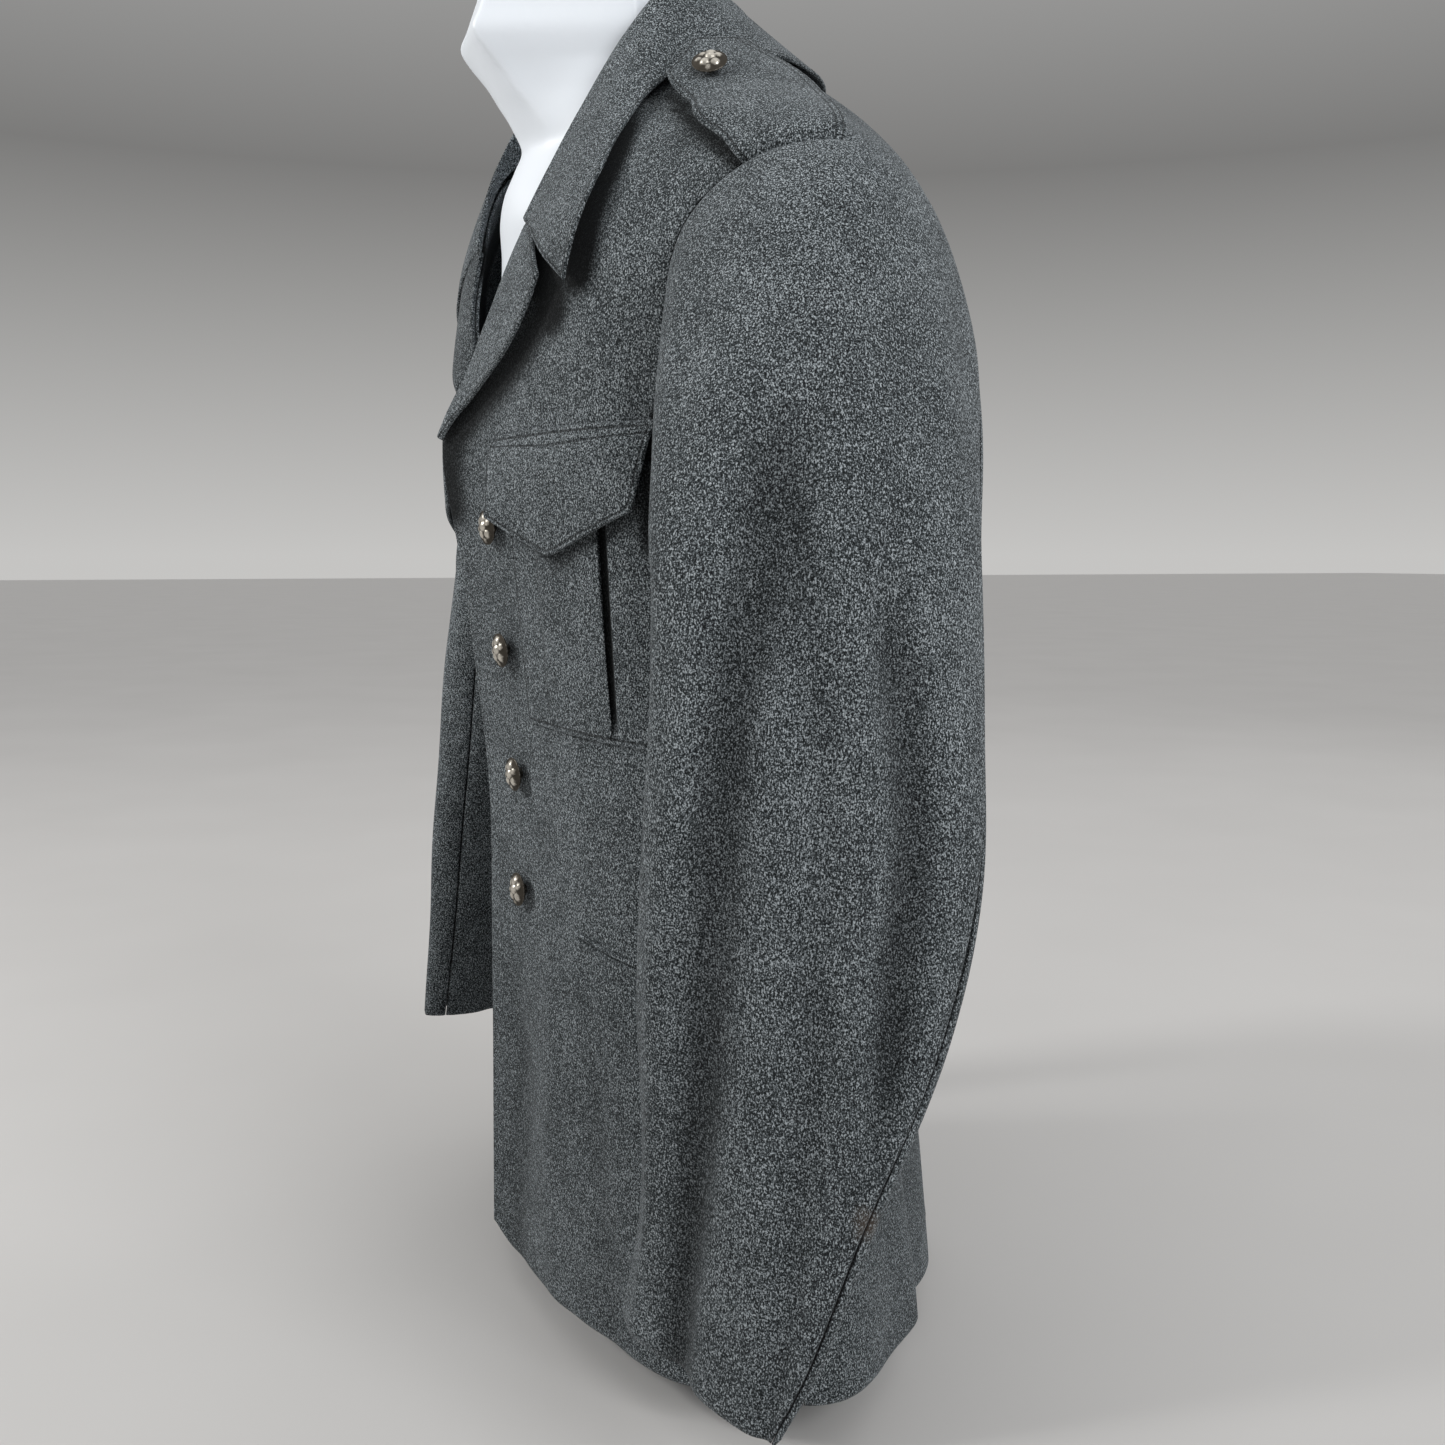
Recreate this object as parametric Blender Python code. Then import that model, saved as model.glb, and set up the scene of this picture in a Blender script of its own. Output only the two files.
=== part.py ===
"""Single-breasted uniform jacket of thick grey-green wool, worn by a limbless torso form.

Metres, +Z up. The wearer faces -Y and the wearer's left is +X. The form stands on z = 0.

The garment's outer surface is one function, torso(s, z, side), lofted through a short
table of sections. s runs from the front edge (0) by the side (0.5) to the spine (1), and
side is 1 for the wearer's left and -1 for the right. Every panel is a wall between two
seam lines on that surface, and whatever lies on a panel is made from the same points,
moved out along their normals.
"""

import math

import bpy
import numpy as np

for old in list(bpy.data.objects):
    bpy.data.objects.remove(old, do_unlink=True)

# Cloth
WALL = 0.0020  # two pressed layers of thick wool
SEAM = 0.0004  # gap between pieces that are sewn together
SEAT = 0.0008  # height above the panel of the pieces that lie on it
TRIM_WALL = 0.0026  # flaps, straps and leaves, with their turnings
LAP = 0.0056  # how far the right front lies behind the left one

# Heights
HEM_Z = 0.030
BREAK_Z = 0.556  # where the lapels start to turn out
GORGE_Z = 0.665  # where collar and lapel meet
SHOULDER_Z = 0.683  # shoulder seam at the sleeve
NECK_Z = 0.770  # shoulder seam at the collar
UNDERARM_Z = 0.490
VENT_TOP_Z = 0.210
VENT_LIFT = 0.008

# Front edge of the left side; the right front's edge lies as far beyond the middle, under it
EDGE_X = -0.022
LAP_S = 0.08  # where the left front's edge lies on the right front
CORNER_RADIUS = 0.012
# The left front's edge springs out below the break
EDGE_SPRING, SPRING_S = 0.0045, 0.060
SPRING_FROM_Z, SPRING_TO_Z = 0.470, 0.620

# The right chest is a little fuller than the left one, as the jacket sits turned on the form
FULLER_CHEST = 0.023
FULLER_FROM_Z, FULLER_TO_Z = 0.590, 0.810

# Outer sections of the garment: one row for each height, from hem to collar seam
SECTION_COLUMNS = ("z", "edge_y", "front_x", "front_y", "side_x", "side_y", "rear_x", "rear_y", "spine_y")
SECTIONS = np.array([
    (0.030, -0.1400, 0.170, -0.080, 0.225, 0.002, 0.150, 0.083, 0.158),
    (0.110, -0.1385, 0.165, -0.081, 0.216, 0.000, 0.146, 0.078, 0.145),
    (0.230, -0.1370, 0.155, -0.082, 0.200, -0.002, 0.140, 0.070, 0.125),
    (0.340, -0.1370, 0.150, -0.083, 0.192, -0.004, 0.137, 0.065, 0.115),
    (0.430, -0.1460, 0.153, -0.087, 0.198, -0.005, 0.142, 0.071, 0.120),
    (0.500, -0.1540, 0.158, -0.090, 0.206, -0.005, 0.153, 0.081, 0.127),
    (0.555, -0.1570, 0.160, -0.092, 0.210, -0.004, 0.158, 0.087, 0.130),
    (0.600, -0.1510, 0.158, -0.091, 0.212, -0.003, 0.159, 0.090, 0.129),
    (0.645, -0.1410, 0.152, -0.088, 0.214, -0.002, 0.156, 0.087, 0.122),
    (0.683, -0.1290, 0.142, -0.077, 0.213, -0.001, 0.147, 0.079, 0.111),
    (0.725, -0.1120, 0.105, -0.066, 0.146, 0.000, 0.110, 0.065, 0.090),
    (0.770, -0.0850, 0.058, -0.045, 0.076, 0.002, 0.053, 0.040, 0.055),
])
SECTION_S = np.array([0.0, 0.3, 0.5, 0.7, 1.0])

# Roll line of the lapel, then neck seam: s at each height
NECKLINE_COLUMNS = ("z", "s")
NECKLINE = np.array([
    (0.556, 0.000),
    (0.573, 0.017),
    (0.588, 0.033),
    (0.609, 0.056),
    (0.635, 0.083),
    (0.665, 0.110),
    (0.700, 0.165),
    (0.725, 0.215),
    (0.750, 0.290),
    (0.764, 0.380),
    (0.770, 0.500),
])

# Armhole seam on the surface
ARM_HALF_S = 0.165
ARM_FRONT_TURN = 128.0  # where the side body's front seam meets it
ARM_REAR_TURN = 235.0  # where the side body's rear seam meets it
SIDE_SEAMS_COLUMNS = ("z", "front_s", "rear_s")
SIDE_SEAMS = np.array([
    (0.030, 0.450, 0.672),
    (0.230, 0.425, 0.668),
    (0.400, 0.400, 0.655),
])


def hermite(knots, values, at, last_slope=None, own=False):
    """Smooth curve through values (its last axis) at the knots, read at the places given.

    With own, each place has its own row of values.
    """
    knots = np.asarray(knots, float)
    values = np.asarray(values, float)
    at = np.asarray(at, float)
    step = np.diff(knots)
    rise = np.diff(values, axis=-1) / step
    slope = np.empty_like(values)
    slope[..., 1:-1] = (rise[..., :-1] * step[1:] + rise[..., 1:] * step[:-1]) / (step[1:] + step[:-1])
    slope[..., 0] = rise[..., 0]
    slope[..., -1] = rise[..., -1] if last_slope is None else last_slope
    k = np.clip(np.searchsorted(knots, at, side="right") - 1, 0, len(step) - 1)
    t = (at - knots[k]) / step[k]
    if own:
        pick = lambda a: np.take_along_axis(a, k[..., None], -1)[..., 0]
        later = lambda a: np.take_along_axis(a, k[..., None] + 1, -1)[..., 0]
    else:
        pick = lambda a: a[..., k]
        later = lambda a: a[..., k + 1]
    away, back = 2 * t**3 - 3 * t**2 + 1, 3 * t**2 - 2 * t**3
    leave, arrive = (t**3 - 2 * t**2 + t) * step[k], (t**3 - t**2) * step[k]
    return away * pick(values) + leave * pick(slope) + back * later(values) + arrive * later(slope)


def bump(value, low, high):
    """0 outside low to high, rising smoothly to 1 between them."""
    share = np.clip((value - low) / (high - low), 0.0, 1.0)
    return np.sin(math.pi * share) ** 2


def ramp(value, low, high):
    """Smooth step from 0 at low to 1 at high."""
    share = np.clip((value - low) / (high - low), 0.0, 1.0)
    return share * share * (3 - 2 * share)


def torso(s, z, side=1):
    """Points of the garment's outer surface."""
    s, z = np.broadcast_arrays(np.asarray(s, float), np.asarray(z, float))
    edge_y, front_x, front_y, side_x, side_y, rear_x, rear_y, spine_y = hermite(
        SECTIONS[:, 0], SECTIONS[:, 1:].T, z)
    edge_x = np.full_like(z, EDGE_X)
    knots, zero = SECTION_S, np.zeros_like(z)
    xs = [edge_x, front_x, side_x, rear_x, zero]
    ys = [edge_y, front_y, side_y, rear_y, spine_y]
    if side < 0:
        fuller = FULLER_CHEST * bump(z, FULLER_FROM_Z, FULLER_TO_Z)
        slope = (front_y - edge_y) / (front_x - EDGE_X)
        lap_x = EDGE_X + (front_x - EDGE_X) * LAP_S / SECTION_S[1]
        knots = np.insert(SECTION_S, 1, LAP_S)
        xs.insert(1, lap_x)
        lap_y = edge_y + LAP + slope * (lap_x + EDGE_X)
        ys = [edge_y - slope * 2 * EDGE_X + LAP, lap_y, front_y - fuller] + ys[2:]
    x = hermite(knots, np.stack(xs, -1), s, own=True)
    y = hermite(knots, np.stack(ys, -1), s, 0.0, own=True)
    if side > 0:
        y = y - EDGE_SPRING * bump(z, SPRING_FROM_Z, SPRING_TO_Z) * (1 - ramp(s, 0.0, SPRING_S))
    return np.stack([x * side, y, z], -1)


def torso_normals(s, z, side=1):
    """Unit normals of that surface, pointing out."""
    small = 1e-4
    s, z = np.broadcast_arrays(np.asarray(s, float), np.asarray(z, float))
    along = torso(s + small, z, side) - torso(s - small, z, side)
    up = torso(s, z + small, side) - torso(s, z - small, side)
    normals = np.cross(along, up) * side
    return normals / np.linalg.norm(normals, axis=-1, keepdims=True)


def armhole(turn):
    """(s, z) of the armhole seam: turn 0 on the shoulder, 90 in front, 180 under the arm, 270 behind."""
    angle = np.radians(turn)
    mid, half = (SHOULDER_Z + UNDERARM_Z) / 2, (SHOULDER_Z - UNDERARM_Z) / 2
    squareness = np.where(np.cos(angle) > 0, np.where(np.sin(angle) < 0, 0.56, 0.68), 0.92)
    across = np.sign(np.sin(angle)) * np.abs(np.sin(angle)) ** squareness
    above = np.sign(np.cos(angle)) * np.abs(np.cos(angle)) ** squareness
    return 0.5 - ARM_HALF_S * across, mid + half * above


def front_seam_s(z):
    seam = np.vstack([SIDE_SEAMS[:, :2], armhole(ARM_FRONT_TURN)[::-1]])
    return hermite(seam[:, 0], seam[:, 1], z)


def rear_seam_s(z):
    seam = np.vstack([SIDE_SEAMS[:, ::2], armhole(ARM_REAR_TURN)[::-1]])
    return hermite(seam[:, 0], seam[:, 1], z)


def material(name, color, roughness, metallic=0.0):
    made = bpy.data.materials.new(name)
    made.use_nodes = True
    shader = made.node_tree.nodes["Principled BSDF"]
    shader.inputs["Base Color"].default_value = (*color, 1.0)
    shader.inputs["Roughness"].default_value = roughness
    shader.inputs["Metallic"].default_value = metallic
    return made


def add_mesh(name, points, faces, look):
    mesh = bpy.data.meshes.new(name)
    mesh.from_pydata([tuple(p) for p in points], [], faces)
    mesh.materials.append(look)
    mesh.shade_smooth()
    mesh.set_sharp_from_angle(angle=math.radians(40))
    made = bpy.data.objects.new(name, mesh)
    bpy.context.scene.collection.objects.link(made)
    return made


def trimmed(outer, inner, trims):
    """Grids with their edge rows moved inwards, so that neighbours keep a seam's gap.

    trims holds the distances for the first row, last row, first column and last column.
    """
    rows = ((0, 1, 0), (-1, -2, 0), (0, 1, 1), (-1, -2, 1))
    grids = [outer.copy(), inner.copy()]
    for (edge, beside, axis), distance in zip(rows, trims):
        for grid in grids:
            lines = grid if axis == 0 else grid.swapaxes(0, 1)
            away = lines[beside] - lines[edge]
            length = np.maximum(np.linalg.norm(away, axis=-1, keepdims=True), 1e-9)
            lines[edge] += away / length * distance
    return grids


def wall(name, outer, inner, look, flip=False, trims=(0, 0, 0, 0)):
    """Closed body between two grids of points, rows by columns."""
    outer, inner = trimmed(outer, inner, trims)
    rows, columns = outer.shape[:2]
    number = np.arange(rows * columns).reshape(rows, columns)
    behind = number + rows * columns
    faces = []
    for i in range(rows - 1):
        for j in range(columns - 1):
            ring = ((i, j), (i, j + 1), (i + 1, j + 1), (i + 1, j))
            faces.append([int(number[c]) for c in ring])
            faces.append([int(behind[c]) for c in reversed(ring)])
    border = [(0, j) for j in range(columns)] + [(i, columns - 1) for i in range(1, rows)]
    border += [(rows - 1, j) for j in range(columns - 2, -1, -1)] + [(i, 0) for i in range(rows - 2, 0, -1)]
    for here, there in zip(border, border[1:] + border[:1]):
        faces.append([int(number[there]), int(number[here]), int(behind[here]), int(behind[there])])
    if flip:
        faces = [face[::-1] for face in faces]
    points = np.concatenate([outer.reshape(-1, 3), inner.reshape(-1, 3)])
    return add_mesh(name, points, faces, look)


def panel(name, s, z, side, look, trims, outside=0.0, thickness=WALL):
    """Wall of cloth over the grids s and z, lying outside the surface by the distance given."""
    points, normals = torso(s, z, side), torso_normals(s, z, side)
    outside = np.asarray(outside)[..., None] if np.ndim(outside) else outside
    thickness = np.asarray(thickness)[..., None] if np.ndim(thickness) else thickness
    outer = points + normals * outside
    return wall(name, outer, outer - normals * thickness, look, side < 0, trims)


def between(first, last, share):
    """Grid from one line of values to another, a column for each share."""
    first, last = np.asarray(first, float)[:, None], np.asarray(last, float)[:, None]
    return first + (last - first) * np.asarray(share)[None, :]


SIDES = ((1, "left"), (-1, "right"))
HALF_SEAM = SEAM / 2
FRONT_LOWER_ROWS, FRONT_UPPER_ROWS = 12, 9
FRONT_COLUMNS = np.array([0.0, 0.035, 0.09, 0.15, 0.21, 0.27, 0.33, 0.39, 0.46, 0.54, 0.63, 0.74, 0.87, 1.0])


def front(side, label, look):
    """From the front edge and roll line to the side body, the armhole and the shoulder seam."""
    lower = np.linspace(0, 1, FRONT_LOWER_ROWS, endpoint=False)
    upper = np.linspace(0, 1, FRONT_UPPER_ROWS)
    arm_s, arm_z = armhole(ARM_FRONT_TURN * (1 - upper))
    seam_z = HEM_Z + (arm_z[0] - HEM_Z) * lower
    edge_z = np.concatenate([HEM_Z + (BREAK_Z - HEM_Z) * lower, BREAK_Z + (NECK_Z - BREAK_Z) * upper])
    roll_s = hermite(NECKLINE[:, 0], NECKLINE[:, 1], edge_z[len(lower):])
    edge_s = np.concatenate([np.zeros(len(lower)), roll_s])
    s = between(edge_s, np.concatenate([front_seam_s(seam_z), arm_s]), FRONT_COLUMNS)
    z = between(edge_z, np.concatenate([seam_z, arm_z]), FRONT_COLUMNS)
    z[0, 0] += CORNER_RADIUS
    return panel(f"front_{label}", s, z, side, look, (0, HALF_SEAM, 0, HALF_SEAM))


def side_body(side, label, look):
    """Under the arm, between the front and the back, with the vent along its rear edge."""
    share = np.linspace(0, 1, 7)
    turns = ARM_FRONT_TURN + (ARM_REAR_TURN - ARM_FRONT_TURN) * share
    top_s, top_z = armhole(turns)
    rise = np.linspace(0, 1, 10)[:, None]
    z = HEM_Z + (top_z[None, :] - HEM_Z) * rise
    across = (top_s - top_s[0]) / (top_s[-1] - top_s[0])
    seams = between(front_seam_s(z[:, 0]), rear_seam_s(z[:, -1]), across)
    lifted = VENT_LIFT * ramp(share, 0.6, 1.0)[None, :] * (1 - ramp(z, HEM_Z, VENT_TOP_Z))
    return panel(f"side_body_{label}", seams, z, side, look, [HALF_SEAM * (k > 0) for k in range(4)], lifted)


def back(side, label, look):
    """From the side body and the armhole to the centre seam, up to the shoulder seam and the neck."""
    lower = np.linspace(0, 1, 9, endpoint=False)
    upper = np.linspace(0, 1, 8)
    share = np.array([0.0, 0.12, 0.25, 0.38, 0.50, 0.62, 0.74, 0.87, 1.0])
    arm_s, arm_z = armhole(ARM_REAR_TURN + (360 - ARM_REAR_TURN) * upper)
    seam_z = HEM_Z + (arm_z[0] - HEM_Z) * lower
    side_s = np.concatenate([rear_seam_s(seam_z), arm_s])
    side_z = np.concatenate([seam_z, arm_z])
    spine_z = HEM_Z + (NECK_Z - 0.002 - HEM_Z) * np.concatenate([lower * 0.66, 0.66 + 0.34 * upper])
    s = between(side_s, np.ones(len(side_s)), share)
    z = between(side_z, spine_z, share)
    # The top row first follows the shoulder seam, then the neck
    corner = 0.62
    top_s = np.where(share < corner, 0.5, 0.5 + 0.5 * (share - corner) / (1 - corner))
    top_z = np.minimum(SHOULDER_Z + (NECK_Z - SHOULDER_Z) * share / corner, NECK_Z - 0.0001)
    blend = ramp(np.concatenate([lower * 0, upper]), 0.0, 1.0)[:, None]
    s += (top_s[None, :] - s[-1:]) * blend
    z += (top_z[None, :] - z[-1:]) * blend
    return panel(f"back_{label}", s, z, side, look, (0, HALF_SEAM, HALF_SEAM, HALF_SEAM))


# Sleeves: horizontal sections from the armhole's foot down to the cuff
SLEEVE_COLUMNS = ("z", "middle_x", "middle_y", "half_width", "half_thick", "twist_degrees", "tilt")
SLEEVE_SECTIONS = {
    1: np.array([
        (0.470, 0.2580, -0.0295, 0.0810, 0.0400, 6.0, 0.00),
        (0.400, 0.2630, -0.0320, 0.0812, 0.0380, 10.0, 0.00),
        (0.330, 0.2660, -0.0370, 0.0815, 0.0350, 22.0, -0.02),
        (0.260, 0.2680, -0.0490, 0.0765, 0.0300, 38.0, -0.06),
        (0.190, 0.2690, -0.0660, 0.0670, 0.0240, 56.0, -0.13),
        (0.125, 0.2670, -0.0830, 0.0620, 0.0160, 68.0, -0.20),
        (0.088, 0.2625, -0.0945, 0.0600, 0.0105, 71.0, -0.10),
    ]),
    # The right sleeve hangs further forward, turned in less, its cuff higher
    -1: np.array([
        (0.470, 0.2580, -0.0360, 0.0810, 0.0400, 6.0, 0.00),
        (0.400, 0.2645, -0.0460, 0.0812, 0.0380, 8.0, 0.00),
        (0.330, 0.2690, -0.0530, 0.0805, 0.0340, 10.0, 0.00),
        (0.260, 0.2720, -0.0640, 0.0765, 0.0290, 13.0, -0.01),
        (0.190, 0.2740, -0.0765, 0.0690, 0.0240, 16.0, -0.03),
        (0.135, 0.2745, -0.0865, 0.0640, 0.0200, 18.0, -0.05),
        (0.108, 0.2740, -0.0913, 0.0620, 0.0180, 19.0, -0.05),
    ]),
}
CAP_SHARE = 0.42  # part of the sleeve's rows that lie above the first section
# How the cap leaves the armhole, at its top, front, foot and rear
CAP_LEAVES = np.array([
    (0.115, 0.0, -0.030), (0.060, -0.040, -0.080), (0.030, 0.0, -0.010), (0.086, 0.058, -0.080),
])
CAP_ARRIVES = np.array([
    (0.030, 0.0, -0.260), (0.020, 0.0, -0.150), (0.0, 0.0, -0.030), (0.020, 0.0, -0.150),
])
FORE_SEAM_TURN = 128.0
HIND_SEAM_TURN = -90.0
SLEEVE_TRIMS = (0.0015, 0, 0.0003, 0.0003)


def four_way(values, turn):
    """Blend of a value at the top, front, foot and rear, for an array of turns."""
    top, front_, foot, rear = values
    turn = np.radians(turn)
    double = (top + foot - front_ - rear) / 4
    mean = (top + foot + front_ + rear) / 4
    shape = turn.shape + (1,) * np.ndim(top)
    c, s, d = (f(a * turn).reshape(shape) for f, a in ((np.cos, 1), (np.sin, 1), (np.cos, 2)))
    return mean + c * (top - foot) / 2 + s * (front_ - rear) / 2 + d * double


def sleeve_section(turn, z, side):
    """Points of the sleeve's flat oval at the height z, turn 0 on its outer side and 90 in front."""
    sections = SLEEVE_SECTIONS[side][::-1]
    columns = hermite(sections[:, 0], sections[:, 1:].T, z)
    middle_x, middle_y, half_width, half_thick, twist, tilt = columns
    angle, twist = np.radians(turn), np.radians(twist)
    ahead, out = half_width * np.sin(angle), half_thick * np.cos(angle)
    x = middle_x - np.sin(twist) * ahead + np.cos(twist) * out
    y = middle_y - np.cos(twist) * ahead - np.sin(twist) * out
    return np.stack([x * side, y, z - tilt * ahead], -1)


def sleeve(turn, v, side):
    """Points of a sleeve's outer surface: v runs from the armhole (0) to the cuff (1)."""
    turn, v = np.broadcast_arrays(np.asarray(turn, float), np.asarray(v, float))
    mirror = np.array([side, 1, 1])
    first_z, cuff_z = SLEEVE_SECTIONS[side][[0, -1], 0]
    t = np.clip(v / CAP_SHARE, 0, 1)[..., None]
    s, z = armhole(turn % 360)
    start = torso(s, z, side) + torso_normals(s, z, side) * 0.0003 + (0.0012 * side, 0, 0)
    end = sleeve_section(turn, np.full_like(v, first_z), side)
    leaves = four_way(CAP_LEAVES * mirror, turn)
    arrives = four_way(CAP_ARRIVES * mirror, turn)
    cap = (2 * t**3 - 3 * t**2 + 1) * start + (t**3 - 2 * t**2 + t) * leaves
    cap = cap + (3 * t**2 - 2 * t**3) * end + (t**3 - t**2) * arrives
    below = first_z + (cuff_z - first_z) * np.clip((v - CAP_SHARE) / (1 - CAP_SHARE), 0, None)
    return np.where((v < CAP_SHARE)[..., None], cap, sleeve_section(turn, below, side))


def sleeve_normals(turn, v, side):
    small = 1e-3
    turn, v = np.broadcast_arrays(np.asarray(turn, float), np.asarray(v, float))
    around = sleeve(turn + small * 90, v, side) - sleeve(turn - small * 90, v, side)
    low, high = np.maximum(v - small, 0), v + small
    along = sleeve(turn, high, side) - sleeve(turn, low, side)
    normals = np.cross(along, around) * -side
    return normals / np.linalg.norm(normals, axis=-1, keepdims=True)


def sleeve_half(side, name, from_turn, to_turn, columns, look):
    v = np.concatenate([np.linspace(0, CAP_SHARE, 8), np.linspace(CAP_SHARE, 1, 11)[1:]])
    turn = np.linspace(from_turn, to_turn, columns)
    turn, v = np.meshgrid(turn, v)
    outer, normals = sleeve(turn, v, side), sleeve_normals(turn, v, side)
    return wall(name, outer, outer - normals * WALL, look, side < 0, SLEEVE_TRIMS)


def sleeves(look):
    for side, label in SIDES:
        sleeve_half(side, f"sleeve_top_{label}", HIND_SEAM_TURN, FORE_SEAM_TURN, 16, look)
        sleeve_half(side, f"sleeve_under_{label}", FORE_SEAM_TURN, 360 + HIND_SEAM_TURN, 11, look)


# Lapels: their roll line and outer edge on the front panel
LAPEL_COLUMNS = ("share", "roll_s", "roll_z", "edge_s", "edge_z")
LAPELS = {
    "left": np.array([
        (0.00, -0.002, 0.554, 0.004, 0.551),
        (0.15, 0.012, 0.569, 0.034, 0.565),
        (0.35, 0.031, 0.588, 0.081, 0.580),
        (0.60, 0.052, 0.611, 0.134, 0.598),
        (0.85, 0.081, 0.639, 0.172, 0.619),
        (1.00, 0.104, 0.666, 0.187, 0.6315),
    ]),
    # The right one shows from where the left front crosses it
    "right": np.array([
        (0.00, 0.072, 0.583, 0.079, 0.581),
        (0.15, 0.058, 0.590, 0.092, 0.586),
        (0.35, 0.050, 0.602, 0.110, 0.594),
        (0.60, 0.066, 0.619, 0.135, 0.606),
        (0.85, 0.088, 0.641, 0.156, 0.619),
        (1.00, 0.104, 0.666, 0.172, 0.634),
    ]),
}
LAPEL_BELLY = 0.0020
LAPEL_EDGE_LIFT = {"left": 0.0070, "right": 0.0035}
NOTCH_RISE = 0.011  # of the lapel's top edge at the notch's apex, over a straight line


def lapel(side, label, look):
    """The turned-out leaf of the front, from the break to the notch."""
    share = np.linspace(0, 1, 9)
    across = np.linspace(0, 1, 7)
    roll_s, roll_z, edge_s, edge_z = hermite(LAPELS[label][:, 0], LAPELS[label][:, 1:].T, share)
    s, z = between(roll_s, edge_s, across), between(roll_z, edge_z, across)
    z += NOTCH_RISE * np.sin(math.pi * across**0.6)[None, :] * (share**6)[:, None]
    lift = SEAT + TRIM_WALL + LAPEL_BELLY * np.sin(math.pi * across)[None, :]
    lift = lift + LAPEL_EDGE_LIFT[label] * across[None, :] ** 2 * np.sqrt(share)[:, None]
    return panel(f"lapel_{label}", s, z, side, look, (0, 0, 0, 0), lift, TRIM_WALL)


# Collar: seam on the neckline, roll line in the air, outer edge over the garment
COLLAR_COLUMNS = ("share", "neck_s", "neck_z", "roll_x", "roll_y", "roll_z", "edge_s", "edge_z", "edge_lift")
COLLAR = np.array([
    (0.00, 0.117, 0.6725, 0.0425, -0.1205, 0.6785, 0.2345, 0.6270, 0.0130),
    (0.14, 0.140, 0.6850, 0.0500, -0.1105, 0.6990, 0.247, 0.648, 0.0145),
    (0.28, 0.180, 0.7085, 0.0600, -0.0930, 0.7320, 0.257, 0.677, 0.0125),
    (0.42, 0.240, 0.7355, 0.0675, -0.0680, 0.7740, 0.2755, 0.705, 0.0080),
    (0.56, 0.380, 0.7640, 0.0690, -0.0400, 0.8050, 0.352, 0.741, 0.0060),
    (0.70, 0.560, 0.7695, 0.0560, -0.0100, 0.8080, 0.520, 0.757, 0.0060),
    (0.86, 0.780, 0.7690, 0.0290, 0.0110, 0.8080, 0.800, 0.757, 0.0070),
    (1.00, 1.000, 0.7690, 0.0000, 0.0160, 0.8080, 1.000, 0.752, 0.0075),
])
COLLAR_WALL = 0.0022
FOLD_HALF = 0.0030  # half the distance between the stand's and the leaf's outer faces at the roll
FOLD_HEIGHT = 0.0030
STAND_START = 0.0026  # above the neck seam
LEAF_POWER = 1.2  # how soon the leaf comes down from the roll to its height over the garment


def collar_profile(share, side):
    """Rows of the collar's outer face, from the neck seam over the roll to the outer edge."""
    neck_s, neck_z, roll_x, roll_y, roll_z, edge_s, edge_z, lift = hermite(
        COLLAR[:, 0], COLLAR[:, 1:].T, share)
    neck, above = torso(neck_s, neck_z, side), torso_normals(neck_s, neck_z, side)
    fuller = neck[..., 1] - torso(neck_s, neck_z)[..., 1]
    roll = np.stack([roll_x * side, roll_y + fuller, roll_z], -1)
    edge = torso(edge_s, edge_z, side)
    out = (edge - neck) * (1, 1, 0)
    out /= np.linalg.norm(out, axis=-1, keepdims=True)
    up = roll - neck
    up /= np.linalg.norm(up, axis=-1, keepdims=True)
    start = neck + up * STAND_START
    stand_top = roll - out * FOLD_HALF - up * FOLD_HEIGHT
    rows = [start, (start + stand_top) / 2, stand_top]
    for turn in (45, 90, 135):
        a = math.radians(turn)
        rows.append(roll - out * FOLD_HALF * math.cos(a) - up * FOLD_HEIGHT * (1 - math.sin(a)))
    lift = lift[:, None]
    fall = rows[-1] - (neck + above * lift)
    for t in (0.2, 0.45, 0.7, 1.0):
        s, z = neck_s + (edge_s - neck_s) * t, neck_z + (edge_z - neck_z) * t
        rows.append(torso(s, z, side) + torso_normals(s, z, side) * lift + fall * (1 - t) ** LEAF_POWER)
    return np.stack(rows)


def collar(look):
    """One leaf that stands on the neck seam, rolls over and lies round the neck."""
    half = np.linspace(0, 1, 13)
    rows = np.concatenate([collar_profile(half, 1), collar_profile(half, -1)[:, -2::-1]], axis=1)
    normals = np.cross(np.gradient(rows, axis=0), np.gradient(rows, axis=1))
    normals /= np.linalg.norm(normals, axis=-1, keepdims=True)
    return wall("collar", rows, rows - normals * COLLAR_WALL, look, True)


# Shoulder straps: front and rear edge on the surface, from the armhole to the tip
STRAP_COLUMNS = ("share", "front_s", "front_z", "rear_s", "rear_z", "lift")
STRAPS = np.array([
    (0.00, 0.402, 0.6720, 0.508, 0.6840, 0.0036),
    (0.12, 0.390, 0.6790, 0.516, 0.6930, 0.0056),
    (0.35, 0.372, 0.6930, 0.528, 0.7110, 0.0074),
    (0.60, 0.352, 0.7110, 0.532, 0.7320, 0.0090),
    (0.85, 0.338, 0.7300, 0.466, 0.7580, 0.0125),
    (1.00, 0.320, 0.7390, 0.434, 0.7640, 0.0165),
])
STRAP_BASE_SHARE = 0.05  # clear of the sleeve head
STRAP_POINT = 0.15  # how much shorter the strap is at its edges than at its tip
STRAP_BUTTON_SHARE, STRAP_BUTTON_ACROSS = 0.745, 0.33


def strap_place(place, across):
    front_s, front_z, rear_s, rear_z, lift = hermite(STRAPS[:, 0], STRAPS[:, 1:].T, place)
    return front_s + (rear_s - front_s) * across, front_z + (rear_z - front_z) * across, lift


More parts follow.
